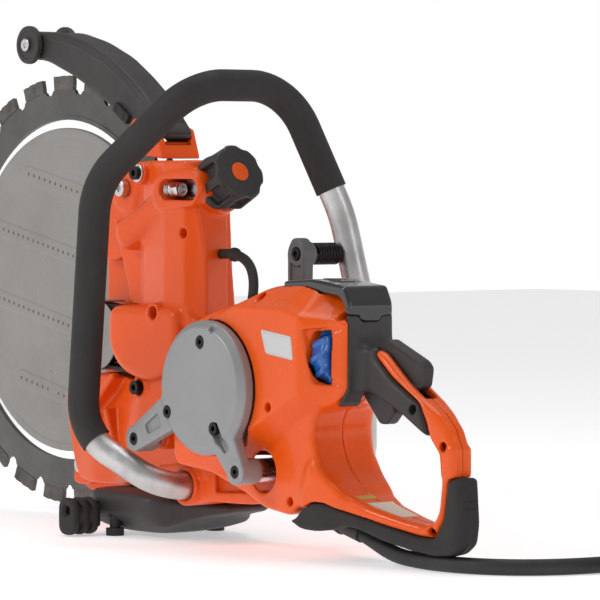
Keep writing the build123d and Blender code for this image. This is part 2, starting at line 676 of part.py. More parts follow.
def bottom_rubber():
    rubber = prism(RUBBER_SIDE, -110, 30)
    plan = [(260, -2), (300, -6), (336, -12), (372, -24), (433, -31.5), (490, -31.5), (490, -56.5),
            (433, -56.5),
            (372, -64), (336, -76), (300, -82), (260, -86)]
    rubber = rubber & plan_prism(plan, 0, 130, 2.0)
    return rubber - extrude(cable_exit_plane().offset(-14) * Circle(13), amount=60)


TRIGGER_PIVOT = (352.0, 156.0)
TRIGGER_SIDE = [(346, 150), (350, 161), (360, 162), (388, 146), (391, 133), (380, 122), (371, 122),
                (361, 133),
                (352, 143)]
LOCK_PIVOT = (376.0, 181.0)
LOCK_SIDE = [(370, 182), (371, 189), (382, 196), (425, 178), (430, 172), (427, 156), (418, 152),
             (378, 174)]


def trigger_pocket():
    return prism([(338, 140), (340, 166), (362, 172), (398, 152), (396, 128), (380, 110), (350, 120)],
                 HANDLE_Y - 8, HANDLE_Y + 8)


def lockout_pocket():
    return prism([(365, 182), (366, 200), (384, 204), (430, 184), (436, 170), (431, 144), (416, 140),
                  (372, 168)], HANDLE_Y - 6.5, HANDLE_Y + 6.5)


def trigger():
    lever = prism(TRIGGER_SIDE, HANDLE_Y - 7, HANDLE_Y + 7)
    return lever - rod(TRIGGER_PIVOT[0], TRIGGER_PIVOT[1], 2.05, HANDLE_Y - 9, HANDLE_Y + 9)


def lockout_lever():
    lever = prism(LOCK_SIDE, HANDLE_Y - 6, HANDLE_Y + 6)
    return lever - rod(LOCK_PIVOT[0], LOCK_PIVOT[1], 2.05, HANDLE_Y - 8, HANDLE_Y + 8)


def lever_pins():
    pins = [rod(TRIGGER_PIVOT[0], TRIGGER_PIVOT[1], 2.0, HANDLE_Y - 8, HANDLE_Y + 8),
            rod(LOCK_PIVOT[0], LOCK_PIVOT[1], 2.0, HANDLE_Y - 6.5, HANDLE_Y + 6.5)]
    return Compound(children=[s for p in pins for s in p.solids()])


def water_thumbwheel():
    place = Pos(WHEEL_X, WHEEL_Y, WHEEL_Z) * Rot(0, 90, 0)
    wheel = place * Cylinder(WHEEL_R - 1.5, 2 * WHEEL_HALF)
    for i in range(16):
        a = math.radians(22.5 * i)
        rib = Pos((WHEEL_R - 2.0) * math.cos(a), (WHEEL_R - 2.0) * math.sin(a)) * Cylinder(2.2,
                                                                                           2 * WHEEL_HALF)
        wheel += place * rib
    return wheel - place * Cylinder(4.06, 60)


def water_valve():
    """The water valve's body, on whose spindle the thumbwheel turns."""
    place = Pos(WHEEL_X, WHEEL_Y, WHEEL_Z) * Rot(0, 90, 0)
    spindle = place * Pos(0, 0, -2) * Cylinder(4.0, 2 * WHEEL_HALF + 5)
    body = box(276, WHEEL_X - WHEEL_HALF - 2, -72, -48, 168, 190)
    return spindle + body


def control_board():
    board = box(266, 312, -40, -37, 150, 226)
    for i in range(4):
        board += box(272, 288, -37, -31, 156 + 17 * i, 166 + 17 * i)
    return board


def switch_module():
    return box(316, 335, -33, -22, 150, 205) + box(300, 316, -33, -24, 160, 175)


def label_plate():
    return prism(LABEL_SIDE, LABEL_Y, LABEL_Y + 1.2, 3.0)


# ---- lower bracket, front handle and vibration damping --------------------------------------
COLLAR_X, COLLAR_Z = 112.0, 54.0
BRACKET_LEFT_Y, BRACKET_RIGHT_Y = -58.0, 22.0
TUBE_END_X, TUBE_END_Z = 214.0, 60.0


def lower_bracket():
    arm = prism([(62, 70), (62, 46), (100, 40), (200, 42), (262, 50), (266, 66), (230, 78), (140, 78)],
                BRACKET_LEFT_Y, BRACKET_RIGHT_Y, 4.0)
    collar = rod(COLLAR_X, COLLAR_Z, 18.5, -64, -10)
    boss = box(COLLAR_X + 8, COLLAR_X + 28, -62, -40, COLLAR_Z + 8, COLLAR_Z + 26)
    bracket = arm + collar + boss + rod(TUBE_END_X, TUBE_END_Z, 17.5, 0, 29)
    bracket -= rod(TUBE_END_X, TUBE_END_Z, TUBE_R, 16, 40)
    bracket += box(40, 64, -10, 20, 46, 78)
    bracket -= rod(COLLAR_X, COLLAR_Z, TUBE_R, -70, -14)
    bracket -= box(30, 60, -30, 30, 30, 90)
    return bracket.solids().sort_by(SortBy.VOLUME)[-1]


HANDLE_PATH = [(COLLAR_X, -14.5, COLLAR_Z), (COLLAR_X, -90, COLLAR_Z), (42, -128, 100), (62, -126, 330),
               (150, -82, 418), (150, 26, 418), (186, 62, 300), (212, 64, 215),
               (TUBE_END_X, 64, TUBE_END_Z), (TUBE_END_X, 16, TUBE_END_Z)]
HANDLE_RADII = [42, 52, 70, 48, 55, 120, 120, 34]
SLEEVE_START = 0.145
SLEEVE_END = 0.70


def handle_line():
    return FilletPolyline(*HANDLE_PATH, radius=HANDLE_RADII)


def swept(line, start, end, r_out, r_in):
    """A hollow round bar that follows the line between two fractions of its length."""
    part = line.trim(start, end) if (start, end) != (0, 1) else line
    plane = Plane(origin=part @ 0, z_dir=part % 0)
    ring = plane * (Circle(r_out) - Circle(r_in)) if r_in else plane * Circle(r_out)
    return sweep(ring, path=part)


def front_handle_tube():
    return swept(handle_line(), 0, 1, TUBE_R, TUBE_INNER_R)


def front_grip():
    return swept(handle_line(), SLEEVE_START, SLEEVE_END, GRIP_SLEEVE_R, TUBE_R)


def av_bracket():
    """The grey arm that carries the vibration spring between the housing and the front handle."""
    arm = prism([(180, 212), (180, 268), (186, 280), (198, 280), (204, 268), (202, 212)], 2, 14, 3.0)
    foot = box(174, 202, -4, 24, 206, 214)
    pad = rod(193, 265.5, 11.5, 14, 18)
    return arm + foot + pad


def av_spring():
    place = Pos(193, 18.0 + 1.9, 265.5) * Rot(-90, 0, 0)
    helix = Helix(pitch=3.3, height=28.5, radius=8.6)
    section = Plane(origin=helix @ 0, z_dir=helix % 0) * Circle(1.5)
    coil = sweep(section, path=helix, is_frenet=True)
    return place * coil


def base_skid():
    side = [(-56, 24), (-46, 10), (-24, 0), (26, 0), (52, 8), (84, 22), (132, 29), (132, 35), (70, 35),
            (50, 38), (24, 43.9), (-44, 43.9)]
    skid = prism(side, -66, 66)
    front = Plane.YZ.offset(-80)
    face = outline([(-64, 40), (-62, 22), (-44, 5), (-22, 0), (22, 0), (44, 5), (62, 22), (64, 40),
                    (40, 48),
                    (-40, 48)], 1.5)
    skid = skid & extrude(front * face, amount=300)
    plan = plan_prism([(-56, -40), (-30, -66), (50, -64), (84, -36), (134, -24), (134, 24), (84, 36),
                       (50, 64),
                       (-30, 66), (-56, 40)], -5, 80, 5.0)
    skid = skid & plan
    for x, y in FEET:
        skid -= Pos(x, y, 10) * Cylinder(5.0, 40)
        skid -= Pos(x, y, 0) * Cylinder(9.0, 14.4)
    return skid - box(-37, -17, -70, -61.9, 7, 31)


def base_feet():
    feet = []
    for x, y in FEET:
        stud = Pos(x, y, 12.5) * Cylinder(5.0, 25) + Pos(x, y, 3.5) * Cylinder(8.5, 7)
        feet += stud.solids()
    return Compound(children=feet)


def bumper():
    fins = []
    for i in range(3):
        y = -96 + 11 * i
        fins.append(prism([(-40, 6), (-34, 1), (-22, 1), (-14, 6), (-14, 30), (-22, 36), (-34, 36),
                           (-40, 30)],
                          y, y + 7, 2.0))
    core = rod(-27, 18, 11, -95, -64)
    block = fins[0] + fins[1] + fins[2] + core
    block += box(-36, -18, -68, -62, 8, 30)
    return block - rod(-27, 18, 4.0, -97, -80)


# ---- power cable ---------------------------------------------------------------------------
def arc_radii(points):
    """Each corner's arc: as large as its two runs allow."""
    radii = []
    for a, b, c in zip(points, points[1:], points[2:]):
        u, v = Vector(*b) - Vector(*a), Vector(*c) - Vector(*b)
        turn = math.radians(u.get_angle(v))
        radii.append(0.45 * min(u.length, v.length) / math.tan(turn / 2))
    return radii


def power_cable():
    radii = arc_radii(CABLE_ROUTE)
    print("cable arc radii", [round(r) for r in radii])
    line = FilletPolyline(*CABLE_ROUTE, radius=radii)
    cable = sweep(Plane(origin=line @ 0, z_dir=line % 0) * Circle(CABLE_R), path=line)
    print("cable tube length %.0f volume ratio %.4f"
          % (line.length, cable.volume / (math.pi * CABLE_R ** 2 * line.length)))
    return cable


def cable_gland_room():
    return box(290, 330, -58, -30, 18, 52)


def cable_exit_plane():
    start, second = Vector(*CABLE_ROUTE[0]), Vector(*CABLE_ROUTE[1])
    return Plane(origin=start, z_dir=(second - start).normalized())


def cable_gland():
    plane = cable_exit_plane()
    gland = extrude(plane.offset(-14) * Circle(12.5), amount=14)
    sleeve = loft([plane * Circle(11.0), plane.offset(26) * Circle(8.6)])
    sleeve -= extrude(plane.offset(-1) * Circle(CABLE_R + 0.02), amount=30)
    return gland + sleeve


def cable_coil():
    section = Pos(COIL_MID_R, COIL_HEIGHT / 2) * RectangleRounded(2 * COIL_HALF_WIDTH, COIL_HEIGHT, 6.0)
    return Pos(COIL_X, COIL_Y, 0) * revolve(Plane.XZ * section, axis=Axis.Z)


def cable_plug():
    """The lead's connector, lying on the coil."""
    centre = Pos(PLUG_X, PLUG_Y, COIL_HEIGHT + PLUG_R - 0.3)
    along = Rot(90, 0, 0)
    body = centre * along * Cylinder(PLUG_R, 62)
    collar = centre * Pos(0, -36, 0) * along * Cylinder(PLUG_COLLAR_R, 16)
    tail = centre * Pos(0, 42, 0) * along * Cylinder(CABLE_R + 4, 22)
    return body + collar + tail


def water_hose():
    """The short water hose between the rear housing and the tower."""
    line = FilletPolyline((54, 14, 262), (86, 12, 262), (128, 2, 250), (152, -16, 226), radius=[22, 26])
    return sweep(Plane(origin=line @ 0, z_dir=line % 0) * Circle(4.6), path=line)


NODES = {
    "ring_core": ring_core, "ring_segments": ring_segments, "centre_disc": centre_disc,
    "drive_wheel": drive_wheel, "drive_shaft": drive_shaft, "driven_pulley": driven_pulley,
    "shaft_bearings": shaft_bearings, "drive_belt": drive_belt, "motor_pulley": motor_pulley,
    "motor_rotor": motor_rotor, "motor_stator": motor_stator, "motor_housing": motor_housing,
    "upper_left_roller": lambda: roller(*ROLLERS[0], -1),
    "lower_left_roller": lambda: roller(*ROLLERS[1], -1),
    "upper_right_roller": lambda: roller(*ROLLERS[0], 1),
    "lower_right_roller": lambda: roller(*ROLLERS[1], 1),
    "roller_axles": roller_axles, "tower_casting": tower_casting, "roller_plate": roller_plate,
    "right_arm_cover": right_arm_cover, "clamp_knob": clamp_knob,
    "frame_screws": frame_screws, "slot_bolt": slot_bolt,
    "guard_shell": guard_shell, "guard_holder": guard_holder, "guard_clips": guard_clip,
    "tip_axle": tip_axle, "tip_wheel_left": lambda: tip_wheel(-1),
    "tip_wheel_right": lambda: tip_wheel(1),
    "round_cover": round_cover, "cover_screws": cover_screws, "leg_nut": leg_nut,
    "rear_shell_left": lambda: rear_shell(-1), "rear_shell_right": lambda: rear_shell(1),
    "top_panel": top_panel, "power_button": power_button, "rear_panel": rear_panel,
    "grip_insert": grip_insert, "bottom_rubber": bottom_rubber, "trigger": trigger,
    "lockout_lever": lockout_lever, "lever_pins": lever_pins, "water_thumbwheel": water_thumbwheel,
    "water_valve": water_valve, "control_board": control_board, "switch_module": switch_module,
    "label_plate": label_plate, "lower_bracket": lower_bracket, "front_handle_tube": front_handle_tube,
    "front_grip": front_grip, "av_bracket": av_bracket, "av_spring": av_spring,
    "base_skid": base_skid, "base_feet": base_feet, "bumper": bumper,
    "power_cable": power_cable, "cable_gland": cable_gland, "cable_coil": cable_coil,
    "cable_plug": cable_plug, "water_hose": water_hose,
}

os.makedirs("parts", exist_ok=True)
for name, build in NODES.items():
    export_step(build(), f"parts/{name}.step")
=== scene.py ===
import json
import math

import bpy
import numpy as np
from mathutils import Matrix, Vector


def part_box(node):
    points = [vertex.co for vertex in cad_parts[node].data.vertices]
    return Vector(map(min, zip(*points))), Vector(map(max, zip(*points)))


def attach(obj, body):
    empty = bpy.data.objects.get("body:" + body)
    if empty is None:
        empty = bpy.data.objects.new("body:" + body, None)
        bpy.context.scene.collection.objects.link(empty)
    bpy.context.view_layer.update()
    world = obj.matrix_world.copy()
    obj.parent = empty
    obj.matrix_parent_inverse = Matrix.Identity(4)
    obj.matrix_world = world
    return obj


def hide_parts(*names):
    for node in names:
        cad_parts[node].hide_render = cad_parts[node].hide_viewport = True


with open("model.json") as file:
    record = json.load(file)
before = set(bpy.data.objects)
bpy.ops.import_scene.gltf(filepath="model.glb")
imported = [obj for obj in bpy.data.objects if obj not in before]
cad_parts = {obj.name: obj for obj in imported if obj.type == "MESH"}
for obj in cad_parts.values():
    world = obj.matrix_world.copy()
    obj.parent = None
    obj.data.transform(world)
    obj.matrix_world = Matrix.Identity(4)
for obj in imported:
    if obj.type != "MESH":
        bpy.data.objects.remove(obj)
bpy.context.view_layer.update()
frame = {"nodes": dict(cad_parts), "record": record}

# Electric concrete ring saw. Shapes are written in millimetres in the row frame and become metres
# in mesh_from(). +X runs from the blade to the rear handle, +Y to the blade side, +Z up.
MM = 0.001
RNG = np.random.default_rng(7)

# ---- camera ---------------------------------------------------------------------------------
CAMERA_PLACE = (2.9967, -2.2802, 0.3325)
CAMERA_TURN = (math.radians(90 - 1.72), 0.0, math.radians(50.8))
LENS_MM, SENSOR_MM = 240.0, 36.0

camera_data = bpy.data.cameras.new("camera")
camera_data.lens = LENS_MM
camera_data.sensor_width = SENSOR_MM
camera = bpy.data.objects.new("camera", camera_data)
camera.location = CAMERA_PLACE
camera.rotation_euler = CAMERA_TURN
bpy.context.scene.collection.objects.link(camera)
bpy.context.scene.camera = camera


# ---- materials ------------------------------------------------------------------------------
def shader(name, colour, roughness, metallic=0.0, coat=0.0, coat_rough=0.1, specular=0.5):
    """A Principled material with its constants on the shader's own sockets."""
    material = bpy.data.materials.new(name)
    material.use_nodes = True
    tree = material.node_tree
    bsdf = tree.nodes["Principled BSDF"]
    bsdf.inputs["Base Color"].default_value = (*colour, 1)
    bsdf.inputs["Roughness"].default_value = roughness
    bsdf.inputs["Metallic"].default_value = metallic
    bsdf.inputs["Coat Weight"].default_value = coat
    bsdf.inputs["Coat Roughness"].default_value = coat_rough
    bsdf.inputs["Specular IOR Level"].default_value = specular
    return material, tree, bsdf


def node(tree, kind, **sockets):
    made = tree.nodes.new(kind)
    for key, value in sockets.items():
        made.inputs[key.replace("_", " ")].default_value = value
    return made


def noise(tree, scale, detail=4.0, rough=0.55, stretch=(1, 1, 1)):
    place = tree.nodes.new("ShaderNodeTexCoord")
    mapping = node(tree, "ShaderNodeMapping", Scale=stretch)
    made = node(tree, "ShaderNodeTexNoise", Scale=scale, Detail=detail, Roughness=rough)
    tree.links.new(place.outputs["Object"], mapping.inputs["Vector"])
    tree.links.new(mapping.outputs["Vector"], made.inputs["Vector"])
    return made.outputs["Fac"]


def ramp(tree, value, stops):
    made = tree.nodes.new("ShaderNodeValToRGB")
    while len(made.color_ramp.elements) < len(stops):
        made.color_ramp.elements.new(0.5)
    for element, (at, colour) in zip(made.color_ramp.elements, stops):
        element.position = at
        element.color = (*colour, 1)
    tree.links.new(value, made.inputs["Fac"])
    return made.outputs["Color"]


def spread(tree, value, low, high, start=0.3, end=0.7):
    made = node(tree, "ShaderNodeMapRange", From_Min=start, From_Max=end, To_Min=low, To_Max=high)
    tree.links.new(value, made.inputs["Value"])
    return made.outputs["Result"]


def bump(tree, bsdf, value, distance, strength=1.0):
    """Adds relief of that depth in metres to what the shader already has."""
    made = node(tree, "ShaderNodeBump", Strength=strength, Distance=distance)
    tree.links.new(value, made.inputs["Height"])
    if bsdf.inputs["Normal"].is_linked:
        tree.links.new(bsdf.inputs["Normal"].links[0].from_socket, made.inputs["Normal"])
    tree.links.new(made.outputs["Normal"], bsdf.inputs["Normal"])


def shade(colour, factor):
    return tuple(min(1.0, c * factor) for c in colour)


def finish(name, colour, rough, metallic=0.0, coat=0.0, coat_rough=0.1, specular=0.5,
           vary=0.12, patch=9.0, grain=900.0, grain_depth=0.00004, wave=0.0, stretch=(1, 1, 1),
           speckle=0.0):
    """A finish with broad colour drift, fine grain in relief and roughness, and scattered specks."""
    material, tree, bsdf = shader(name, colour, rough[0], metallic, coat, coat_rough, specular)
    broad = noise(tree, patch, 5.0, 0.6)
    drift = ramp(tree, broad, [(0.3, shade(colour, 1 - vary)), (0.52, colour),
                               (0.72, shade(colour, 1 + vary))])
    if speckle:
        spots = noise(tree, 420.0, 2.0, 0.5)
        mask = spread(tree, spots, 0.0, speckle, 0.62, 0.72)
        mix = tree.nodes.new("ShaderNodeMix")
        mix.data_type = "RGBA"
        mix.inputs[7].default_value = (*shade(colour, 1.9), 1)
        tree.links.new(mask, mix.inputs[0])
        tree.links.new(drift, mix.inputs[6])
        drift = mix.outputs[2]
    tree.links.new(drift, bsdf.inputs["Base Color"])
    fine = noise(tree, grain, 3.0, 0.6, stretch)
    tree.links.new(spread(tree, noise(tree, 55.0, 6.0, 0.65, stretch), rough[0], rough[1]),
                   bsdf.inputs["Roughness"])
    bump(tree, bsdf, fine, grain_depth)
    if wave:
        bump(tree, bsdf, noise(tree, 45.0, 2.0, 0.4), wave)
    return material


ORANGE = (0.84, 0.098, 0.003)
DARK = (0.030, 0.027, 0.0255)
# Colours are linear red, green and blue.
LOOKS = {
    "orange_plastic": dict(colour=ORANGE, rough=(0.24, 0.34), coat=0.22, coat_rough=0.06, specular=0.28,
                           vary=0.05, grain=1500.0, grain_depth=0.00001, wave=0.00005),
    "orange_cast": dict(colour=(0.80, 0.088, 0.003), rough=(0.30, 0.44), coat=0.2, coat_rough=0.10,
                        specular=0.25, vary=0.08, grain=520.0, grain_depth=0.00007, wave=0.0002),
    "dark_plastic": dict(colour=DARK, rough=(0.46, 0.60), vary=0.2, grain=1700.0, grain_depth=0.00006,
                         speckle=0.25),
    "gloss_black": dict(colour=(0.012, 0.012, 0.013), rough=(0.10, 0.20), coat=0.8, coat_rough=0.04,
                        vary=0.2, grain=1200.0, grain_depth=0.000005),
    "soft_rubber": dict(colour=(0.027, 0.025, 0.024), rough=(0.62, 0.76), specular=0.35, vary=0.16,
                        grain=1300.0, grain_depth=0.00008, speckle=0.2),
    "belt_rubber": dict(colour=(0.02, 0.02, 0.02), rough=(0.6, 0.75), grain=800.0, grain_depth=0.0001),
    "steel": dict(colour=(0.56, 0.55, 0.54), rough=(0.24, 0.40), metallic=1.0, grain=700.0,
                  grain_depth=0.00002, stretch=(1, 9, 1), vary=0.12),
    "zinc_steel": dict(colour=(0.66, 0.66, 0.67), rough=(0.20, 0.36), metallic=1.0, grain=600.0,
                       grain_depth=0.00002, vary=0.15),
    "black_steel": dict(colour=(0.012, 0.012, 0.0125), rough=(0.30, 0.46), metallic=0.6, grain=900.0,
                        grain_depth=0.00003, vary=0.25),
    "aluminium": dict(colour=(0.58, 0.575, 0.57), rough=(0.28, 0.50), metallic=1.0, patch=26.0, vary=0.22,
                      grain=420.0, grain_depth=0.00005, stretch=(2.5, 2.5, 1)),
    "aluminium_paint": dict(colour=(0.30, 0.303, 0.308), rough=(0.40, 0.50), metallic=0.35, coat=0.08,
                            grain=1500.0, grain_depth=0.00003, vary=0.05),
    "grey_cast": dict(colour=(0.105, 0.105, 0.108), rough=(0.42, 0.54), metallic=0.2, grain=600.0,
                      grain_depth=0.00008, vary=0.1),
    "blue_plastic": dict(colour=(0.006, 0.12, 0.46), rough=(0.22, 0.32), coat=0.4, vary=0.12, grain=900.0,
                         grain_depth=0.00002),
    "brass": dict(colour=(0.72, 0.50, 0.22), rough=(0.25, 0.4), metallic=1.0, vary=0.1),
    "board": dict(colour=(0.02, 0.13, 0.06), rough=(0.35, 0.5), coat=0.3, vary=0.2, patch=60.0),
    "label_silver": dict(colour=(0.60, 0.60, 0.60), rough=(0.26, 0.34), metallic=0.3, coat=0.3, vary=0.03,
                         grain=2200.0, grain_depth=0.00001),
    "cable_rubber": dict(colour=(0.020, 0.0195, 0.0195), rough=(0.50, 0.66), vary=0.2, grain=1100.0,
                         grain_depth=0.0001, speckle=0.15),
    "sticker_paper": dict(colour=(0.78, 0.66, 0.52), rough=(0.30, 0.42), coat=0.3, vary=0.05, grain=1300.0,
                          grain_depth=0.00001),
    "sticker_gold": dict(colour=(0.62, 0.34, 0.02), rough=(0.30, 0.42), coat=0.3, vary=0.08, grain=1300.0,
                         grain_depth=0.00001),
    "outlet_brown": dict(colour=(0.13, 0.075, 0.04), rough=(0.5, 0.7), vary=0.3, patch=80.0),
    "diamond_segment": dict(colour=(0.135, 0.122, 0.112), rough=(0.55, 0.8), metallic=0.55, vary=0.35,
                            patch=70.0, grain=650.0, grain_depth=0.00035, speckle=0.6),
}
MATERIALS = {name: finish(name, **look) for name, look in LOOKS.items()}


def turned(name, colour, centre, rough, vary, lines=900.0, metallic=1.0, blotch=0.25):
    """Metal with grinding lines that run round an axis along Y, hazed and stained in patches."""
    material, tree, bsdf = shader(name, colour, rough[0], metallic)
    place = tree.nodes.new("ShaderNodeTexCoord")
    shift = node(tree, "ShaderNodeMapping", Location=(-centre[0], 0.0, -centre[1]), Scale=(1, 0, 1))
    length = tree.nodes.new("ShaderNodeVectorMath")
    length.operation = "LENGTH"
    tree.links.new(place.outputs["Object"], shift.inputs["Vector"])
    tree.links.new(shift.outputs["Vector"], length.inputs[0])
    rings = node(tree, "ShaderNodeTexNoise", Scale=lines, Detail=4.0, Roughness=0.7)
    rings.noise_dimensions = "1D"
    tree.links.new(length.outputs["Value"], rings.inputs["W"])
    haze = noise(tree, 14.0, 7.0, 0.62)
    base = ramp(tree, haze, [(0.32, shade(colour, 1 - blotch)), (0.5, colour),
                             (0.7, shade(colour, 1 + vary))])
    tree.links.new(base, bsdf.inputs["Base Color"])
    tree.links.new(spread(tree, rings.outputs["Fac"], rough[0], rough[1]), bsdf.inputs["Roughness"])
    bump(tree, bsdf, rings.outputs["Fac"], 0.00005)
    bump(tree, bsdf, noise(tree, 1100.0, 3.0), 0.00002)
    return material


RING_X, RING_Y, RING_Z = (1000 * v for v in frame["record"]["behaviour"]["joints"][0]["pos_m"])
RING_CENTRE = (RING_X * MM, RING_Z * MM)
MATERIALS["ring_steel"] = turned("ring_steel", (0.135, 0.130, 0.124), RING_CENTRE, (0.34, 0.50), 0.25)
MATERIALS["disc_sheet"] = turned("disc_sheet", (0.29, 0.278, 0.262), RING_CENTRE, (0.46, 0.58), 0.08, 300.0,
                                 metallic=0.35, blotch=0.10)


def paint(piece, name):
    piece.data.materials.clear()
    piece.data.materials.append(MATERIALS[name])


# ---- shapes drawn as fields, in millimetres --------------------------------------------------
def rounded(points, radius, steps=4):
    """An outline whose corners are curves that start a radius away, or nearly half a side."""
    if not radius:
        return list(points)
    out = []
    for before, corner, after in zip(points[-1:] + points[:-1], points, points[1:] + points[:1]):
        ends = []
        for other in (before, after):
            length = math.dist(corner, other)
            share = min(radius / length, 0.48)
            ends.append([c + (o - c) * share for c, o in zip(corner, other)])
        for i in range(steps + 1):
            t = i / steps
            out.append(tuple((1 - t) ** 2 * a + 2 * t * (1 - t) * c + t * t * b
                             for a, c, b in zip(ends[0], corner, ends[1])))
    return out


def shape2(a, b, points, radius=0.0):
    """Distance to a closed outline drawn along two axes, negative inside."""
    points = rounded(points, radius)
    nearest = np.full(np.broadcast(a, b).shape, 1e9)
    inside = np.zeros(nearest.shape, bool)
    for (x0, y0), (x1, y1) in zip(points, points[1:] + points[:1]):
        ex, ey = x1 - x0, y1 - y0
        squared = ex * ex + ey * ey
        if squared < 1e-9:
            continue
        t = np.clip(((a - x0) * ex + (b - y0) * ey) / squared, 0, 1)
        nearest = np.minimum(nearest, (a - x0 - ex * t) ** 2 + (b - y0 - ey * t) ** 2)
        if ey:
            inside ^= ((b < y0) != (b < y1)) & (a < x0 + ex * (b - y0) / ey)
    return np.where(inside, -1.0, 1.0) * np.sqrt(nearest)


def join(a, b, soft=0.0):
    """The union of two fields, with a fillet of about that size."""
    if not soft:
        return np.minimum(a, b)
    h = np.maximum(soft - np.abs(a - b), 0) / soft
    return np.minimum(a, b) - h * h * soft / 4


def meet(a, b, soft=0.0):
    return -join(-a, -b, soft)


def cut(a, b, soft=0.0):
    return meet(a, -b, soft)


def between(v, low, high):
    return np.abs(v - (low + high) / 2) - (high - low) / 2


def hole(a, b, ca, cb, r):
    return np.hypot(a - ca, b - cb) - r


def slot2(a, b, p, q, r):
    """Distance to a bar with round ends, drawn along two axes."""
    ex, ey = q[0] - p[0], q[1] - p[1]
    t = np.clip(((a - p[0]) * ex + (b - p[1]) * ey) / (ex * ex + ey * ey), 0, 1)
    return np.hypot(a - p[0] - ex * t, b - p[1] - ey * t) - r


def ease(v):
    v = np.clip(v, 0, 1)
    return v * v * (3 - 2 * v)


def mesh_from(name, vertices, faces, smooth=True):
    """An object from vertices in millimetres."""
    data = bpy.data.meshes.new(name)
    data.from_pydata((np.asarray(vertices) * MM).tolist(), [], [list(f) for f in faces])
    data.polygons.foreach_set("use_smooth", [smooth] * len(data.polygons))
    data.update()
    made = bpy.data.objects.new(name, data)
    bpy.context.scene.collection.objects.link(made)
    return made


def skin(name, field, low, step):
    """The closed surface where a field sampled on a grid crosses zero."""
    field = np.pad(field, 1, constant_values=step)
    field = np.where(np.abs(field) < 1e-4, 1e-4, field)
    inside = field < 0
    corners = sum(inside[i:i - 1 or None, j:j - 1 or None, k:k - 1 or None].astype(np.int8)
                  for i in (0, 1) for j in (0, 1) for k in (0, 1))
    active = (corners > 0) & (corners < 8)
    cells = np.argwhere(active)
    index = np.full(active.shape, -1, int)
    index[active] = np.arange(len(cells))
    total, count = np.zeros((len(cells), 3)), np.zeros(len(cells))
    units = np.eye(3, dtype=int)
    faces = []
    for axis in range(3):
        u, v = units[(axis + 1) % 3], units[(axis + 2) % 3]
        for i in (0, 1):
            for j in (0, 1):
                start = cells + i * u + j * v
                fa, fb = field[tuple(start.T)], field[tuple((start + units[axis]).T)]
                crossing = (fa < 0) != (fb < 0)
                t = np.where(crossing, fa / np.where(crossing, fa - fb, 1), 0)
                total += crossing[:, None] * (i * u + j * v + t[:, None] * units[axis])
                count += crossing
        low_side = inside[tuple(slice(None, -1) if a == axis else slice(None) for a in range(3))]
        high_side = inside[tuple(slice(1, None) if a == axis else slice(None) for a in range(3))]
        edges = np.argwhere(low_side != high_side)
        flip = low_side[tuple(edges.T)]
        around = ((0, 0), (1, 0), (1, 1), (0, 1))
        quad = np.stack([index[tuple((edges - a * u - b * v).T)] for a, b in around], 1)
        faces.append(np.where(flip[:, None], quad, quad[:, ::-1]))
    vertices = (cells + total / count[:, None] - 1) * step + np.array(low)
    return mesh_from(name, vertices, np.concatenate(faces).tolist())


def dress(piece, material, stands_for=(), body="machine"):
    """Gives a piece its material and body, and hides the CAD nodes it stands for."""
    paint(piece, material)
    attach(piece, body)
    if stands_for:
        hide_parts(*stands_for)


def carved(name, low, high, step, field, material, stands_for=(), body="machine"):
    """A piece whose shape is a function of X, Y and Z, sampled on a grid of that step."""
    grid = np.ix_(*[np.arange(a, b + step, step) for a, b in zip(low, high)])
    values = np.broadcast_to(field(*grid), [axis.size for axis in grid])
    dress(skin(name, values, low, step), material, stands_for, body)


def ring_quads(rings, count, closed=True):
    """Faces between neighbouring rings of points. Closed joins the last ring to the first."""
    faces = []
    for i in range(rings if closed else rings - 1):
        for j in range(count):
            n, k = (i + 1) % rings, (j + 1) % count
            faces.append((i * count + k, n * count + k, n * count + j, i * count + j))
    return faces


SLOT_OF = {p["node"]: p["material_slot"] for p in frame["record"]["subparts"]}
for name, piece in frame["nodes"].items():
    paint(piece, SLOT_OF[name])


# ---- floor and light ------------------------------------------------------------------------
bpy.context.scene.view_settings.view_transform = "Standard"


# Each area light's name, place, target, width and height in metres, and power in watts.
LIGHTS = [("key", (-0.6, -2.2, 1.7), (0.1, 0.0, 0.2), (0.8, 0.6), 19.0),
          ("side", (2.5, 0.6, 0.9), (0.2, 0.0, 0.2), (0.5, 1.4), 6.0),
          ("top", (0.1, 0.2, 2.3), (0.0, 0.0, 0.2), (1.6, 1.2), 14.0)]
FLOOR_HALF = 6000.0
FLOOR_GLOW = 0.42
WHITE, PAPER, PAPER_DARK, PAPER_LIGHT, SKY_GREY = ((v, v, v) for v in (1.0, 0.9, 0.89, 0.92, 0.40))
# The world turns from white to grey between these heights of the direction looked in.
HORIZON, OVERHEAD = 0.13, 0.24


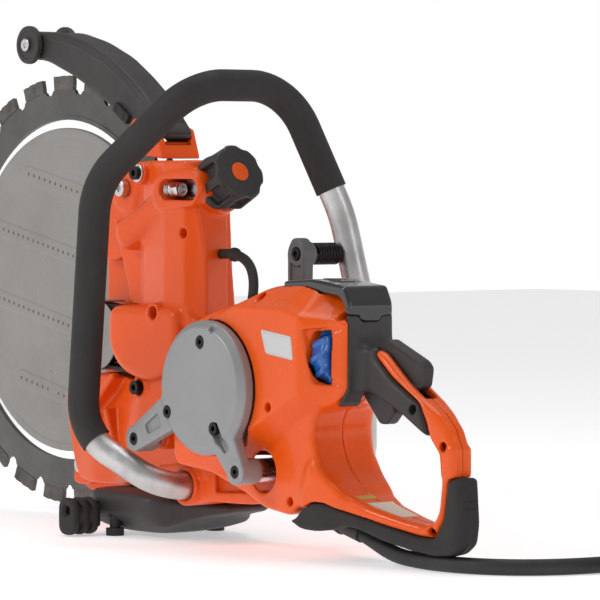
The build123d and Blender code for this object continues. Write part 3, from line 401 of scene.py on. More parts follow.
def stage():
    """The white floor, the world and the three lights."""
    corners = [(sx * FLOOR_HALF, sy * FLOOR_HALF, 0) for sx, sy in ((-1, -1), (1, -1), (1, 1), (-1, 1))]
    floor = mesh_from("floor", corners, [(0, 1, 2, 3)], False)
    material, tree, bsdf = shader("floor_paper", PAPER, 0.6)
    bsdf.inputs["Emission Color"].default_value = (*WHITE, 1)
    bsdf.inputs["Emission Strength"].default_value = FLOOR_GLOW
    tint = ramp(tree, noise(tree, 3.0), [(0.3, PAPER_DARK), (0.7, PAPER_LIGHT)])
    tree.links.new(tint, bsdf.inputs["Base Color"])
    floor.data.materials.append(material)
    world = bpy.data.worlds.new("studio")
    bpy.context.scene.world = world
    world.use_nodes = True
    tree = world.node_tree
    direction = tree.nodes.new("ShaderNodeTexCoord").outputs["Generated"]
    parts = tree.nodes.new("ShaderNodeSeparateXYZ")
    tree.links.new(direction, parts.inputs["Vector"])
    sky = ramp(tree, parts.outputs["Z"], [(HORIZON, WHITE), (OVERHEAD, SKY_GREY)])
    tree.links.new(sky, tree.nodes["Background"].inputs["Color"])
    tree.nodes["Background"].inputs["Strength"].default_value = 1.0
    for name, place, target, size, power in LIGHTS:
        data = bpy.data.lights.new(name, "AREA")
        data.shape = "RECTANGLE"
        data.size, data.size_y = size
        data.energy = power
        light = bpy.data.objects.new(name, data)
        light.location = place
        light.rotation_euler = (Vector(target) - Vector(place)).to_track_quat("-Z", "Y").to_euler()
        bpy.context.scene.collection.objects.link(light)


stage()

# ---- power lead -----------------------------------------------------------------------------
CABLE_R = 7.0
CABLE_FLOOR = 7.05
CABLE_ROUTE = [(318, -44, 34), (352, -44, 21.5), (386, -46, 9.5), (424, -47, CABLE_FLOOR),
               (466, -46, CABLE_FLOOR), (502, -33, CABLE_FLOOR), (528, -5, CABLE_FLOOR),
               (541, 35, CABLE_FLOOR), (543, 92, CABLE_FLOOR)]
COIL_LOW, COIL_HIGH = (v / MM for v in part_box("cable_coil"))
COIL_X, COIL_Y = (COIL_LOW.x + COIL_HIGH.x) / 2, (COIL_LOW.y + COIL_HIGH.y) / 2
# Each turn's radius and height, wound from the outside in and then layer by layer.
COIL_TURNS = [(84, 7.05), (98, 7.2), (69, 7.2), (70, 21.0), (84, 20.8), (98, 21.0), (97, 34.8), (83, 34.9),
              (70, 34.8)]
POINTS_PER_TURN = 16
SAME_RADIUS_SHARE = 0.7
LAST_COIL_POINT = (8, 5)
PLUG_X, PLUG_Y, PLUG_Z = COIL_X + 80.0, COIL_Y - 64.0, 61.7
LEAD_END = [(COIL_X + 50, COIL_Y + 51, 40.0), (COIL_X + 63, COIL_Y + 41, 48.5),
            (COIL_X + 74, COIL_Y + 22, 57.0), (PLUG_X, COIL_Y + 5, PLUG_Z), (PLUG_X, COIL_Y - 10, PLUG_Z)]


def coil_points():
    """The lead's turns. It comes in along the coil's near side and winds clockwise from above."""
    points = []
    for i, (radius, height) in enumerate(COIL_TURNS):
        following = COIL_TURNS[min(i + 1, len(COIL_TURNS) - 1)]
        for k in range(POINTS_PER_TURN):
            t = ease((k - POINTS_PER_TURN * SAME_RADIUS_SHARE) / (POINTS_PER_TURN * (1 - SAME_RADIUS_SHARE)))
            r, z = radius + (following[0] - radius) * t, height + (following[1] - height) * t
            a = math.pi - 2 * math.pi * k / POINTS_PER_TURN
            if (0, 0) < (i, k) <= LAST_COIL_POINT:
                points.append((COIL_X + r * math.cos(a), COIL_Y + r * math.sin(a), float(z)))
    return points


def power_lead():
    """The whole lead as one bevelled curve, from the gland to the connector."""
    points = CABLE_ROUTE + [(543, 130, CABLE_FLOOR)] + coil_points() + LEAD_END
    data = bpy.data.curves.new("power_lead", "CURVE")
    data.dimensions = "3D"
    spline = data.splines.new("NURBS")
    spline.points.add(len(points) - 1)
    for point, place in zip(spline.points, points):
        point.co = (*(v * MM for v in place), 1)
    spline.order_u = 3
    spline.use_endpoint_u = True
    spline.resolution_u = 6
    data.bevel_depth = CABLE_R * MM
    data.bevel_resolution = 6
    lead = bpy.data.objects.new("power_lead", data)
    bpy.context.scene.collection.objects.link(lead)
    dress(lead, "cable_rubber", ["power_cable", "cable_coil"])
    return lead


# ---- rear housing, rear handle and what is set into them --------------------------------------
MOTOR_X, MOTOR_Z = 197.0, 148.0
HANDLE_Y = -44.0
WALL = 3.8
SEAM_GAP = 0.12
HOUSING_SIDE = [(140, 78), (132, 150), (148, 204), (165, 214), (228, 226), (250, 239), (290, 242),
                (343, 236), (352, 227), (352, 150), (338, 137), (320, 134), (313, 114), (318, 94),
                (327, 76), (346, 62), (346, 50), (300, 50), (284, 38), (244, 43), (219, 54)]
BAR_SIDE = [(312, 86), (327, 74), (346, 62), (373, 51), (410, 43), (436, 39), (447, 42), (453, 52),
            (456, 76), (456, 101), (472, 108), (472, 80), (465, 76), (459, 45), (448, 29), (430, 29),
            (377, 38), (300, 50)]
STRIP_SIDE = [(373, 187), (384, 184), (416, 158), (452, 135), (465, 122), (472, 106), (472, 80), (456, 80),
              (453, 98), (441, 114), (438, 126), (430, 142), (395, 162), (373, 180)]
RUBBER_SIDE = [(284, 35), (293, 37), (302, 46), (316, 53), (329, 53), (346, 47), (388, 37), (430, 29),
               (448, 29), (459, 45), (465, 80), (480, 82), (483, 42), (480, 24), (468, 15), (445, 13),
               (420, 16), (386, 23), (358, 32), (344, 33), (333, 29), (316, 27), (300, 28)]
PANEL_FACE = [(90, 300), (90, 60), (215, 98), (255, 117), (328, 154), (330, 170), (321, 204), (312, 224),
              (300, 300)]
SHELL_HOLES = [(186, 206), (250, 229), (343, 215), (275, 134), (284, 51), (459, 107), (445, 34)]
LEG_ENDS = [(95, 98), (243, 76)]
ARM_SIDE = [(55, 205), (55, 110), (225, 100), (258, 128), (258, 170), (225, 194)]
TOP_SIDE = [(262, 243.6), (262, 236.5), (290, 236.5), (338, 231), (345, 224), (345, 216), (352.4, 216),
            (352.4, 226), (345, 240.5), (300, 246)]
TOP_ROOM = [(261.6, 250), (261.6, 236.2), (290, 236.2), (338, 230.7), (344.6, 223.8), (344.6, 215.6),
            (356, 215.6), (356, 250)]
LOCK_ROOM = [(364, 182), (366, 204), (384, 206), (430, 186), (437, 170), (432, 143), (416, 139), (372, 167)]
PANEL_ROOM = [(347.5, 137), (347.5, 218), (360, 218), (360, 137)]
DIAL = (329.0, -64.0, 179.0)
DIAL_ROOM = 26.6
WINDOW = [(320.4, 198), (323, 202), (331, 201.5), (338.4, 197), (338.4, 161), (334, 158), (328, 160)]
RECESS = [(318.5, 203), (349, 207), (350, 203.5), (339, 199.5), (339, 160.5), (353, 157), (351, 154),
          (328, 156), (325.5, 161)]


def off_handle(y):
    """How far a point is from the plane that the handle is symmetric about."""
    return np.abs(y - HANDLE_Y)


def bar_half(x):
    """Half the bar's width."""
    return np.interp(x, [300, 322, 372, 433, 460, 490], [39, 36, 22.5, 13.5, 12, 12])


def left_face(x, z):
    """The housing's left face: a raised panel, a slope below it, and a scoop round the water dial."""
    base = np.interp(x, [316, 352], [-97.6, -72.6])
    low = np.interp(x, [200, 300, 330, 352], [-78.0, -80.0, -78.0, -73.0])
    dial = np.interp(x, [318, 332, 344, 352], [-86.0, -80.0, -75.5, -72.8])
    target = low + (dial - low) * ease((z - 142) / 20)
    away = np.clip(shape2(x, z, PANEL_FACE, 5.0) / 15, 0, 1)
    face = base + (target - base) * (0.75 * away + 0.25 * ease(away))
    ridge = np.interp(x, [148, 186, 229, 294, 318, 352], [190, 203, 219, 218, 211, 206])
    return face + 1.15 * np.maximum(z - ridge, 0) * ease((z - ridge) / 7)


def rear_bar(x, y, z):
    """The bar that runs back under the handle, and the upright at its end."""
    return meet(shape2(x, z, BAR_SIDE, 5.0), off_handle(y) - bar_half(x), 7.0)


def housing(x, y, z):
    """The outside of the housing, the bar and the orange strip of the grip, as one form."""
    right = np.interp(x, [125, 240, 310, 352], [10, 10, -5, -15.5])
    side = shape2(x, z, HOUSING_SIDE, 9.0)
    left = left_face(x, z)
    steps = [v.ravel()[1] - v.ravel()[0] for v in (x, z)]
    lean_x, lean_z = (np.gradient(left, step, axis=a) for a, step in zip((0, 2), steps))
    shell = meet(side, (left - y) / np.sqrt(1 + lean_x ** 2 + lean_z ** 2), 6.0)
    shell = meet(shell, y - right, 12.0)
    bar = rear_bar(x, y, z)
    grip_half = np.interp(x, [436, 458], [15.0, 11.5])
    grip = meet(shape2(x, z, STRIP_SIDE, 5.0), off_handle(y) - grip_half, 9.0)
    return join(shell, join(bar, grip, 4.0), 9.0)


def rear_shell(sign):
    """Half of the hollow housing: sign -1 is the left half, and 1 the right."""
    def field(x, y, z):
        whole = housing(x, y, z)
        shell = meet(whole, -(whole + WALL), 1.0)
        for hx, hz in SHELL_HOLES:
            post = meet(whole + 0.6, meet(hole(x, z, hx, hz, 7.4), y + 58))
            shell = join(shell, post, 1.0)
        shell = meet(shell, SEAM_GAP - sign * (y - HANDLE_Y))
        shell = cut(shell, hole(x, z, MOTOR_X, MOTOR_Z, 56.6))
        if sign < 0:
            shell = cut(shell, meet(hole(x, z, MOTOR_X, MOTOR_Z, 60.5), y + 50), 0.8)
            for ex, ez in LEG_ENDS:
                shell = cut(shell, meet(hole(x, z, ex, ez, 13.0), y - HANDLE_Y))
            shell = cut(shell, meet(hole(x, z, 245, 75, 18.5), y + 50), 2.5)
            recess = shape2(x, z, RECESS, 1.5)
            shell = join(shell, meet(meet(whole + 0.5, recess - 3.5), y + 72))
            shell = cut(shell, meet(recess, y - np.interp(x, [313, 332, 352], [-90.5, -78.3, -71.5])), 0.8)
            shell = cut(shell, meet(shape2(x, z, WINDOW, 2.5), y + 58), 0.5)
            dial_room = np.hypot(y - DIAL[1], z - DIAL[2]) - DIAL_ROOM
            shell = cut(shell, meet(dial_room, between(x, DIAL[0] - 8.7, DIAL[0] + 8.9)))
            for hx, hz in SHELL_HOLES:
                depth = left_face(x, z) + 16 if hx < 400 else HANDLE_Y - 3
                shell = cut(shell, meet(hole(x, z, hx, hz, 4.1), y - depth), 1.4)
        else:
            shell = cut(shell, meet(shape2(x, z, ARM_SIDE, 8.0), between(y, -17, 31)))
        shell = cut(shell, meet(shape2(x, z, RUBBER_SIDE, 4.0) - 0.25,
                                off_handle(y) - bar_half(x) - 3))
        shell = cut(shell, meet(shape2(x, z, TOP_ROOM), off_handle(y) - 25.4))
        shell = cut(shell, meet(shape2(x, z, PANEL_ROOM, 2.0), off_handle(y) - 25.0))
        shell = cut(shell, meet(shape2(x, z, LOCK_ROOM, 2.0), off_handle(y) - 6.8), 0.8)
        shell = cut(shell, meet(between(x, 290, 330), meet(between(z, 18, 48), between(y, -60, -28))))
        return cut(shell, meet(between(x, 110, 262), meet(between(z, 30, 81), between(y, -72, 45))))
    return field


carved("rear_housing_left", (128, -100, 10), (484, -43, 246), 1.4, rear_shell(-1), "orange_plastic",
       ["rear_shell_left"])
carved("rear_housing_right", (128, -45, 10), (484, 12, 246), 1.4, rear_shell(1), "orange_plastic",
       ["rear_shell_right"])


TAB_FRONT = [(-68, 224), (-68, 216), (-57, 215), (-54, 210.6), (-35, 210.6), (-32, 215), (-20, 216),
             (-20, 224)]
TAB_ROOM = [(-68, 230), (-68, 216), (-57.5, 215), (-54, 210.2), (-35, 210.2), (-31.5, 215), (-20, 216),
            (-20, 230)]


def top_panel(x, y, z):
    """The gloss keypad cover, with its tab on the rear panel and a ring round the button."""
    panel = meet(shape2(x, z, TOP_SIDE, 3.0), off_handle(y) - 25, 3.0)
    tab = meet(shape2(y, z, TAB_FRONT, 2.0), between(x, 349.2, 352.6))
    panel = join(panel, tab)
    away = hole(x, y, 300, HANDLE_Y, 0)
    panel = cut(panel, meet(away - 8.4, 230 - z))
    panel = cut(panel, meet(np.abs(away - 11.5) - 0.7, 244.4 - z), 0.4)
    for kx in (276, 322):
        key = meet(shape2(x, y, [(kx - 6, -58), (kx + 6, -58), (kx + 6, -30), (kx - 6, -30)], 3.0), 243.6 - z)
        panel = cut(panel, meet(np.abs(key) - 0.5, 241.0 - z), 0.3)
    return panel


carved("keypad_cover", (260, -71, 208), (355, -17, 248), 0.8, top_panel, "gloss_black", ["top_panel"])

TRIGGER_ROOM = [(338, 140), (340, 166), (362, 172), (398, 152), (396, 128), (380, 110), (350, 120)]
GRIP_LOW = [(350, 190), (373, 187.5), (373.5, 180), (395, 162), (430, 142), (438, 126), (440, 114),
            (431, 118), (404, 133), (372, 147), (350, 152)]


def rear_moulding(x, y, z):
    """The dark panel at the back, whose cone grows into the grip's insert."""
    centre = off_handle(y)
    flare = np.interp(z, [137, 150, 216], [30.0, 25.5, 24.6])
    lean = np.interp(z, [134, 140, 150], [343.0, 349.0, 352.3])
    panel = meet(meet(between(z, 136.5, 215.8), centre - flare, 2.5), between(x, lean - 5, lean), 1.5)
    grip = meet(shape2(x, z, GRIP_LOW, 4.0), centre - 14.9, 8.0)
    moulding = join(panel, grip, 12.0)
    moulding = cut(moulding, meet(shape2(x, z, STRIP_SIDE, 5.0) - 0.3, centre - 16))
    moulding = cut(moulding, meet(shape2(x, z, TRIGGER_ROOM, 2.0), centre - 8.0), 1.0)
    moulding = cut(moulding, meet(shape2(x, z, LOCK_ROOM, 2.0), centre - 6.8))
    moulding = cut(moulding, meet(hole(x, z, 423, 137, 4.2), y + 50), 1.2)
    return cut(moulding, meet(shape2(y, z, TAB_ROOM, 2.0), 340 - x))


carved("rear_grip_moulding", (338, -78, 108), (444, -10, 220), 1.1, rear_moulding, "dark_plastic",
       ["rear_panel", "grip_insert"])


def rubber_foot(x, y, z):
    """The rubber wrap under the bar and over the handle's end, split by a raised seam."""
    half = bar_half(x) + 0.6
    body = meet(shape2(x, z, RUBBER_SIDE, 5.0), off_handle(y) - half, 7.0)
    seam = meet(shape2(x, z, RUBBER_SIDE, 5.0) - 0.5, off_handle(y) - 1.0)
    body = join(body, seam, 1.5)
    for at in (56, 62, 68):
        body = cut(body, meet(meet(between(z, at - 0.7, at + 0.7), 481 - x), off_handle(y) - 8), 0.6)
    along = np.clip(((x - 300) * 52 + (z - 41) * -19) / (52 ** 2 + 19 ** 2), 0, 1.6)
    lead = np.sqrt((x - 300 - 52 * along) ** 2 + (y - HANDLE_Y) ** 2 + (z - 41 + 19 * along) ** 2)
    return cut(body, lead - 13.2, 1.5)


carved("handle_rubber", (280, -86, 9), (487, -2, 86), 1.2, rubber_foot, "soft_rubber", ["bottom_rubber"])

TRIGGER_SIDE = [(346, 150), (350, 161), (360, 162), (388, 146), (391, 133), (380, 122), (371, 122),
                (361, 133), (352, 143)]
LOCK_SIDE = [(370, 182), (371, 189), (382, 196), (425, 178), (430, 172), (427, 156), (418, 152), (378, 174)]


def trigger_lever(x, y, z):
    """The trigger's blade, with the hole for its pin."""
    lever = meet(shape2(x, z, TRIGGER_SIDE, 3.0), off_handle(y) - 7.0, 3.0)
    return cut(lever, hole(x, z, 352, 156, 2.1))


def lockout(x, y, z):
    """The lockout lever above the grip, hollowed on both sides."""
    lever = meet(shape2(x, z, LOCK_SIDE, 3.0), off_handle(y) - 6.0, 2.5)
    hollow = meet(shape2(x, z, LOCK_SIDE, 3.0) + 3.2, off_handle(y) - 9)
    lever = cut(lever, meet(hollow, 4.9 - off_handle(y)), 1.0)
    return cut(lever, hole(x, z, 376, 181, 2.1))


carved("throttle_trigger", (343, -53, 119), (394, -35, 165), 0.8, trigger_lever, "dark_plastic",
       ["trigger"], "trigger")
carved("throttle_lockout", (367, -52, 149), (433, -36, 198), 0.8, lockout, "dark_plastic",
       ["lockout_lever"], "lockout")


def water_dial():
    """The dial's rim carries bold diagonal ribs."""
    cx, cy, cz = DIAL
    around, across = 208, 24
    vertices = []
    for i in range(around):
        a = 2 * math.pi * i / around
        for j in range(across + 1):
            t = j / across
            x = -8 + 16 * t
            rib = 0.5 + 0.5 * math.tanh(3 * math.cos(10 * (a + 0.022 * x)) - 1.0)
            edge = math.sqrt(max(0.0, 1 - (2 * t - 1) ** 10))
            r = 4.3 if j in (0, across) else 15.0 + (7.4 + 2.7 * rib) * edge
            vertices.append((cx + x, cy + r * math.cos(a), cz + r * math.sin(a)))
    piece = mesh_from("water_dial", vertices, ring_quads(around, across + 1))
    dress(piece, "blue_plastic", ["water_thumbwheel"], "thumbwheel")


water_dial()


def badge(x, y, z):
    """The blank plate on the housing, with a fine line round its edge."""
    outline = shape2(x, z, [(266, 202), (308, 197), (311, 176), (273, 181)], 3.0)
    plate = meet(outline, between(y, -98.1, -96.9), 0.4)
    return cut(plate, meet(np.abs(outline + 1.6) - 0.3, y + 97.8))


carved("blank_badge", (264, -99, 174), (313, -96, 204), 0.4, badge, "label_silver", ["label_plate"])

# ---- motor cover ------------------------------------------------------------------------------
LEGS = [((150, 126), LEG_ENDS[0]), ((222, 108), LEG_ENDS[1])]
COVER_SCREWS = [(198, 189), (150, 125), (217, 113)]


def motor_cover(x, y, z):
    """The round cover with a bevelled rim, and its two legs with a pocket and a screw seat each."""
    away = hole(x, z, MOTOR_X, MOTOR_Z, 0)
    cover = meet(away - 60, between(y, -113, -98), 1.5)
    cover = meet(cover, (away - 60.5 - (y + 106.5)) * 0.707, 0.8)
    for (sx, sz), (ex, ez) in LEGS:
        t = np.clip(((x - sx) * (ex - sx) + (z - sz) * (ez - sz)) / ((ex - sx) ** 2 + (ez - sz) ** 2), 0, 1)
        beside = np.hypot(x - sx - (ex - sx) * t, z - sz - (ez - sz) * t) - (17 - 5.4 * t)
        leg = meet(beside, between(y, -109.5 + 1.2 * t, -98), 2.2)
        post = meet(hole(x, z, ex, ez, 11.8), between(y, -109, -86), 1.5)
        cover = join(cover, join(leg, post), 3.0)
    for (sx, sz), (ex, ez) in LEGS:
        a, b = ((0.30, 0.66) if sx < 200 else (-0.25, 0.45))
        p, q = [(sx + (ex - sx) * s, sz + (ez - sz) * s) for s in (a, b)]
        nx, nz = -(ez - sz) / math.dist((sx, sz), (ex, ez)), (ex - sx) / math.dist((sx, sz), (ex, ez))
        pocket = shape2(x, z, [(p[0] + nx * 6, p[1] + nz * 6), (q[0] + nx * 4.5, q[1] + nz * 4.5),
                               (q[0] - nx * 4.5, q[1] - nz * 4.5), (p[0] - nx * 6, p[1] - nz * 6)], 2.5)
        cover = cut(cover, meet(pocket, y + 105.2), 1.6)
        cover = cut(cover, meet(hole(x, z, ex, ez, 5.7), y + 104), 0.6)
    for sx, sz in COVER_SCREWS:
        cover = cut(cover, meet(hole(x, z, sx, sz, 5.8), y + 107.6), 0.8)
    cover = cut(cover, meet(slot2(x, z, (214, 201), (218, 210), 3.6), y + 107.5), 1.0)
    return cover


carved("motor_side_cover", (82, -114, 62), (259, -85, 210), 0.9, motor_cover, "aluminium_paint",
       ["round_cover"])

# ---- the tower that carries the ring ------------------------------------------------------------
COLUMN_SIDE = [(-60, 344), (-20, 347), (2, 350), (60, 351), (65, 338), (63, 312), (71, 265), (76, 227),
               (78, 198), (-58, 198), (-64, 230), (-78, 285), (-62, 330)]
COLUMN_PLAN = [(-90, 24), (-74, 12), (-46, 9), (-23, -8), (22, -18), (52, -18), (73, -7), (66, 24)]
LOBE_SIDE = [(-56, 341), (-90, 338), (-113, 318), (-123, 297), (-126, 270), (-113, 257), (-93, 254),
             (-60, 266)]
FIN_SIDE = [(-88, 292), (-66, 232), (-58, 200), (-10, 200), (-10, 300)]
BELLY_SIDE = [(-57, 214), (-57, 173), (-38, 152), (-2, 142), (36, 150), (52, 172), (52, 214)]
LOWER_SIDE = [(-58, 212), (60, 212), (62, 60), (30, 46), (-108, 42), (-132, 46), (-142, 70), (-152, 108),
              (-152, 131), (-137, 142), (-105, 146), (-60, 150)]
TOWER_SCREWS = [(-18, 339), (-18, 137)]
SLOT_ENDS = ((28, 323.5), (66, 323.5))
DOWEL_HOLE = (16, 208)
RIBS = [((-58, 146), (-104, 104)), ((-68, 112), (-52, 74)), ((-104, 104), (-84, 66))]
KNOB_START = (46.0, 14.0, 318.0)
KNOB_TILT = math.radians(24.0)
KNOB_LOBES = 7
DRIVE_JOINT = [1000 * v for v in frame["record"]["behaviour"]["joints"][1]["pos_m"]]
DRIVE_X, DRIVE_Z = DRIVE_JOINT[0], DRIVE_JOINT[2]
ROLLERS = [(1000 * j["pos_m"][0], 1000 * j["pos_m"][2]) for j in frame["record"]["behaviour"]["joints"][3:5]]


def knob_axis(x, y, z):
    """How far along the clamp knob's axis, how far from it, and the two directions across it."""
    dx, side, dz = x - KNOB_START[0], y - KNOB_START[1], z - KNOB_START[2]
    along = dx * math.cos(KNOB_TILT) + dz * math.sin(KNOB_TILT)
    across = -dx * math.sin(KNOB_TILT) + dz * math.cos(KNOB_TILT)
    return along, np.hypot(side, across), side, across


def tower(x, y, z):
    """The casting that carries the ring: column, lobe, clamp barrel, roller arms, belly and belt arm."""
    column = meet(meet(shape2(x, z, COLUMN_SIDE, 5.0), shape2(x, y, COLUMN_PLAN, 2.0), 3.0), y - 24, 1.0)
    lobe = meet(shape2(x, z, LOBE_SIDE, 8.0), between(y, 9, 24), 3.5)
    fin = meet(shape2(x, z, FIN_SIDE, 3.0), between(y, 5, 16), 2.0)
    body = join(join(column, lobe, 6.0), fin, 3.0)
    barrel = np.sqrt(slot2(x, z, (-46, 282), (18, 311), 0.0) ** 2 + (y + 3) ** 2) - 16.5
    body = join(body, meet(barrel, y - 20), 5.0)
    boss = meet(slot2(x, z, (24, 321), (62, 325), 17.5), between(y, -21.5, 10), 3.0)
    body = join(body, boss, 2.5)
    along, away, _, _ = knob_axis(x, y, z)
    collar = meet(away - 25.5, between(along, -16, 19.5), 1.5)
    for at in (6.0, 12.5):
        collar = cut(collar, meet(24.3 - away, between(along, at - 0.8, at + 0.8)), 0.8)
    body = join(body, collar, 3.0)
    lower = meet(shape2(x, z, LOWER_SIDE, 9.0), between(y, -4, 24), 4.0)
    lean = -4 - 12 * ease((x + 70) / 60) - 8 * ease((150 - z) / 70) * ease((x + 150) / 60)
    slope = meet(shape2(x, z, LOWER_SIDE, 9.0), between(y, -30, 24), 5.0)
    lower = join(lower, meet(slope, (lean - y) * 0.95, 3.0), 3.0)
    for (ax, az), (bx, bz) in RIBS:
        lower = join(lower, meet(slot2(x, z, (ax, az), (bx, bz), 3.4), between(y, -21, 10), 2.5), 4.0)
    for rx, rz in ROLLERS:
        lower = join(lower, meet(hole(x, z, rx, rz, 19), between(y, 9, 24), 2.5), 4.0)
    body = join(body, lower, 7.0)
    belly = meet(shape2(x, z, BELLY_SIDE, 14.0), between(y, -27, 6), 10.0)
    body = join(body, belly, 3.5)
    arm = meet(shape2(x, z, ARM_SIDE, 8.0), between(y, -16, 14), 3.0)
    post = meet(hole(x, z, *LEG_ENDS[0], 11.0), between(y, -78, 12))
    body = join(body, join(arm, post, 4.0), 3.0)
    for sx, sz in TOWER_SCREWS:
        body = join(body, meet(hole(x, z, sx, sz, 10.5), between(y, -18.2, 6), 1.5), 2.5)
        body = cut(body, meet(hole(x, z, sx, sz, 7.3), y + 10), 0.8)
    window = meet(slot2(x, z, *SLOT_ENDS, 9.8), y - 3)
    body = cut(body, meet(window, -30 - y), 0.8)
    for hx, hz, r in ((50, 283, 4.6), (*DOWEL_HOLE, 6.0)):
        body = cut(body, meet(hole(x, z, hx, hz, r), y + 6), 1.2)
    rim = meet(np.abs(hole(x, z, *DOWEL_HOLE, 8.3)) - 1.6, between(y, -28, -8))
    body = join(body, meet(rim, -27.4 - y), 1.5)
    body = cut(body, meet(slot2(x, z, (DRIVE_X, DRIVE_Z), (MOTOR_X, MOTOR_Z), 34.5), between(y, -12.5, 18.0)))
    body = cut(body, hole(x, z, MOTOR_X, MOTOR_Z, 8.6))
    for rx, rz in ROLLERS:
        body = cut(body, hole(x, z, rx, rz, 8.1))
    body = cut(body, meet(away - 6.15, between(along, -30, 30)))
    return cut(body, meet(hole(x, z, *LEG_ENDS[0], 3.2), y + 55))


carved("ring_tower", (-158, -80, 28), (262, 27, 356), 1.6, tower, "orange_cast", ["tower_casting"])

PLATE_SIDE = [(-92, 346), (-60, 351), (10, 351), (46, 322), (50, 250), (56, 200), (56, 60), (24, 44),
              (-58, 44), (-104, 34), (-150, 30), (-172, 44), (-172, 66), (-146, 92), (-130, 140),
              (-124, 170), (-124, 318)]
ARM_COVER_SIDE = [(-95, 340), (-60, 346), (4, 336), (8, 300), (4, 140), (10, 100), (-10, 92), (-70, 110),
                  (-120, 34), (-165, 34), (-168, 74), (-112, 140), (-112, 290)]
SPACERS = [(-2, 322), (2, 120)]
DISC_BOSSES = [(-112, 232), (-116, 140)]


def roller_plate(x, y, z):
    """The plate behind the ring's left rollers, with pockets between its ribs on the side that shows."""
    plate = meet(shape2(x, z, PLATE_SIDE, 7.0), between(y, 24.05, 42), 2.5)
    for rx, rz in ROLLERS:
        plate = join(plate, meet(hole(x, z, rx, rz, 24), between(y, 24.05, 42), 2.0), 4.0)
    pocket = meet(shape2(x, z, PLATE_SIDE, 7.0) + 9.0, 36.5 - y)
    for rib in (((-120, 300), (40, 240)), ((-120, 180), (50, 250)), ((-130, 120), (50, 90))):
        pocket = cut(pocket, slot2(x, z, *rib, 3.5))
    islands = [(DRIVE_X, DRIVE_Z, 36), (*ROLLERS[0], 26), (*ROLLERS[1], 26)] + [(*p, 14) for p in SPACERS]
    for px, pz, r in islands:
        pocket = cut(pocket, hole(x, z, px, pz, r))
    plate = cut(plate, pocket, 2.0)
    for px, pz in DISC_BOSSES:
        plate = join(plate, meet(hole(x, z, px, pz, 8), between(y, 38, 49.5)), 2.0)
    for px, pz in SPACERS:
        plate = join(plate, meet(hole(x, z, px, pz, 10), between(y, 38, 61.9)), 2.0)
    plate = cut(plate, meet(hole(x, z, DRIVE_X, DRIVE_Z, 18.1), y - 37))
    plate = cut(plate, hole(x, z, DRIVE_X, DRIVE_Z, 10))
    for rx, rz in ROLLERS:
        plate = cut(plate, hole(x, z, rx, rz, 6.1))
    along, away, _, _ = knob_axis(x, y, z)
    plate = cut(plate, meet(away - 6.2, between(along, -30, 40)))
    return cut(plate, meet(away - 30.5, between(along, -2, 60)), 1.0)


carved("ring_roller_plate", (-176, 22, 26), (60, 64, 354), 1.5, roller_plate, "orange_cast",
       ["roller_plate"])


def arm_cover(x, y, z):
    """The outer cover over the right-hand rollers, with a raised rim and a ribbed centre."""
    cover = meet(shape2(x, z, ARM_COVER_SIDE, 7.0), between(y, 62.05, 73), 2.5)
    floor = meet(shape2(x, z, ARM_COVER_SIDE, 7.0) + 9.0, 70.6 - y)
    for at in range(5):
        floor = cut(floor, slot2(x, z, (-110, 160 + 28 * at), (0, 176 + 28 * at), 2.4))
    for px, pz in ROLLERS + SPACERS:
        floor = cut(floor, hole(x, z, px, pz, 14))
    cover = cut(cover, floor, 1.5)
    for rx, rz in ROLLERS:
        cover = cut(cover, hole(x, z, rx, rz, 6.1))
    for px, pz in SPACERS:
        cover = cut(cover, hole(x, z, px, pz, 4.2))
    return cover


carved("ring_arm_cover", (-172, 60, 30), (14, 75, 350), 1.3, arm_cover, "orange_cast", ["right_arm_cover"])


def clamp_knob(x, y, z):
    """The clamp knob, with seven finger pockets, seven notches and a dished end."""
    along, away, side, across = knob_axis(x, y, z)
    knob = meet(away - 29 + 0.04 * (along - 21), between(along, 21, 55), 4.0)
    for i in range(KNOB_LOBES):
        a = 2 * math.pi * (i + 0.3) / KNOB_LOBES
        out = side * math.cos(a) + across * math.sin(a)
        beside = -side * math.sin(a) + across * math.cos(a)
        pocket = meet(meet(np.abs(beside) - 7.6, 21.5 - out, 3.0), between(along, 28.5, 50.5), 3.0)
        knob = cut(knob, pocket, 2.0)
        notch = np.sqrt((out - 33.5) ** 2 + beside ** 2) - 8.2
        knob = cut(knob, meet(notch, 49 - along), 2.0)
    knob = cut(knob, meet(away - 9.6, 54.4 - along), 0.4)
    return join(knob, meet(away - 6.0, between(along, -12, 24)))


def knob_dot(x, y, z):
    """The orange dot set into the knob's end."""
    along, away, _, _ = knob_axis(x, y, z)
    return meet(away - 9.2, between(along, 54.0, 55.6), 0.8)


carved("clamp_knob_grip", (28, -18, 306), (112, 46, 372), 0.9, clamp_knob, "dark_plastic", ["clamp_knob"],
       "knob")
carved("knob_dot", (84, 3, 326), (104, 25, 352), 0.5, knob_dot, "orange_plastic", body="knob")

# ---- the blade guard ----------------------------------------------------------------------------
GUARD_SIDE = [(-266, 478), (-246, 479), (-218, 478), (-177, 468), (-137, 452), (-106, 433), (-84, 417),
              (-62, 396), (-42, 376), (-60, 366), (-76, 363), (-95, 376), (-115, 391), (-153, 414),
              (-196, 434), (-238, 449), (-262, 452)]
TIP_X, TIP_Z = -262.0, 466.6


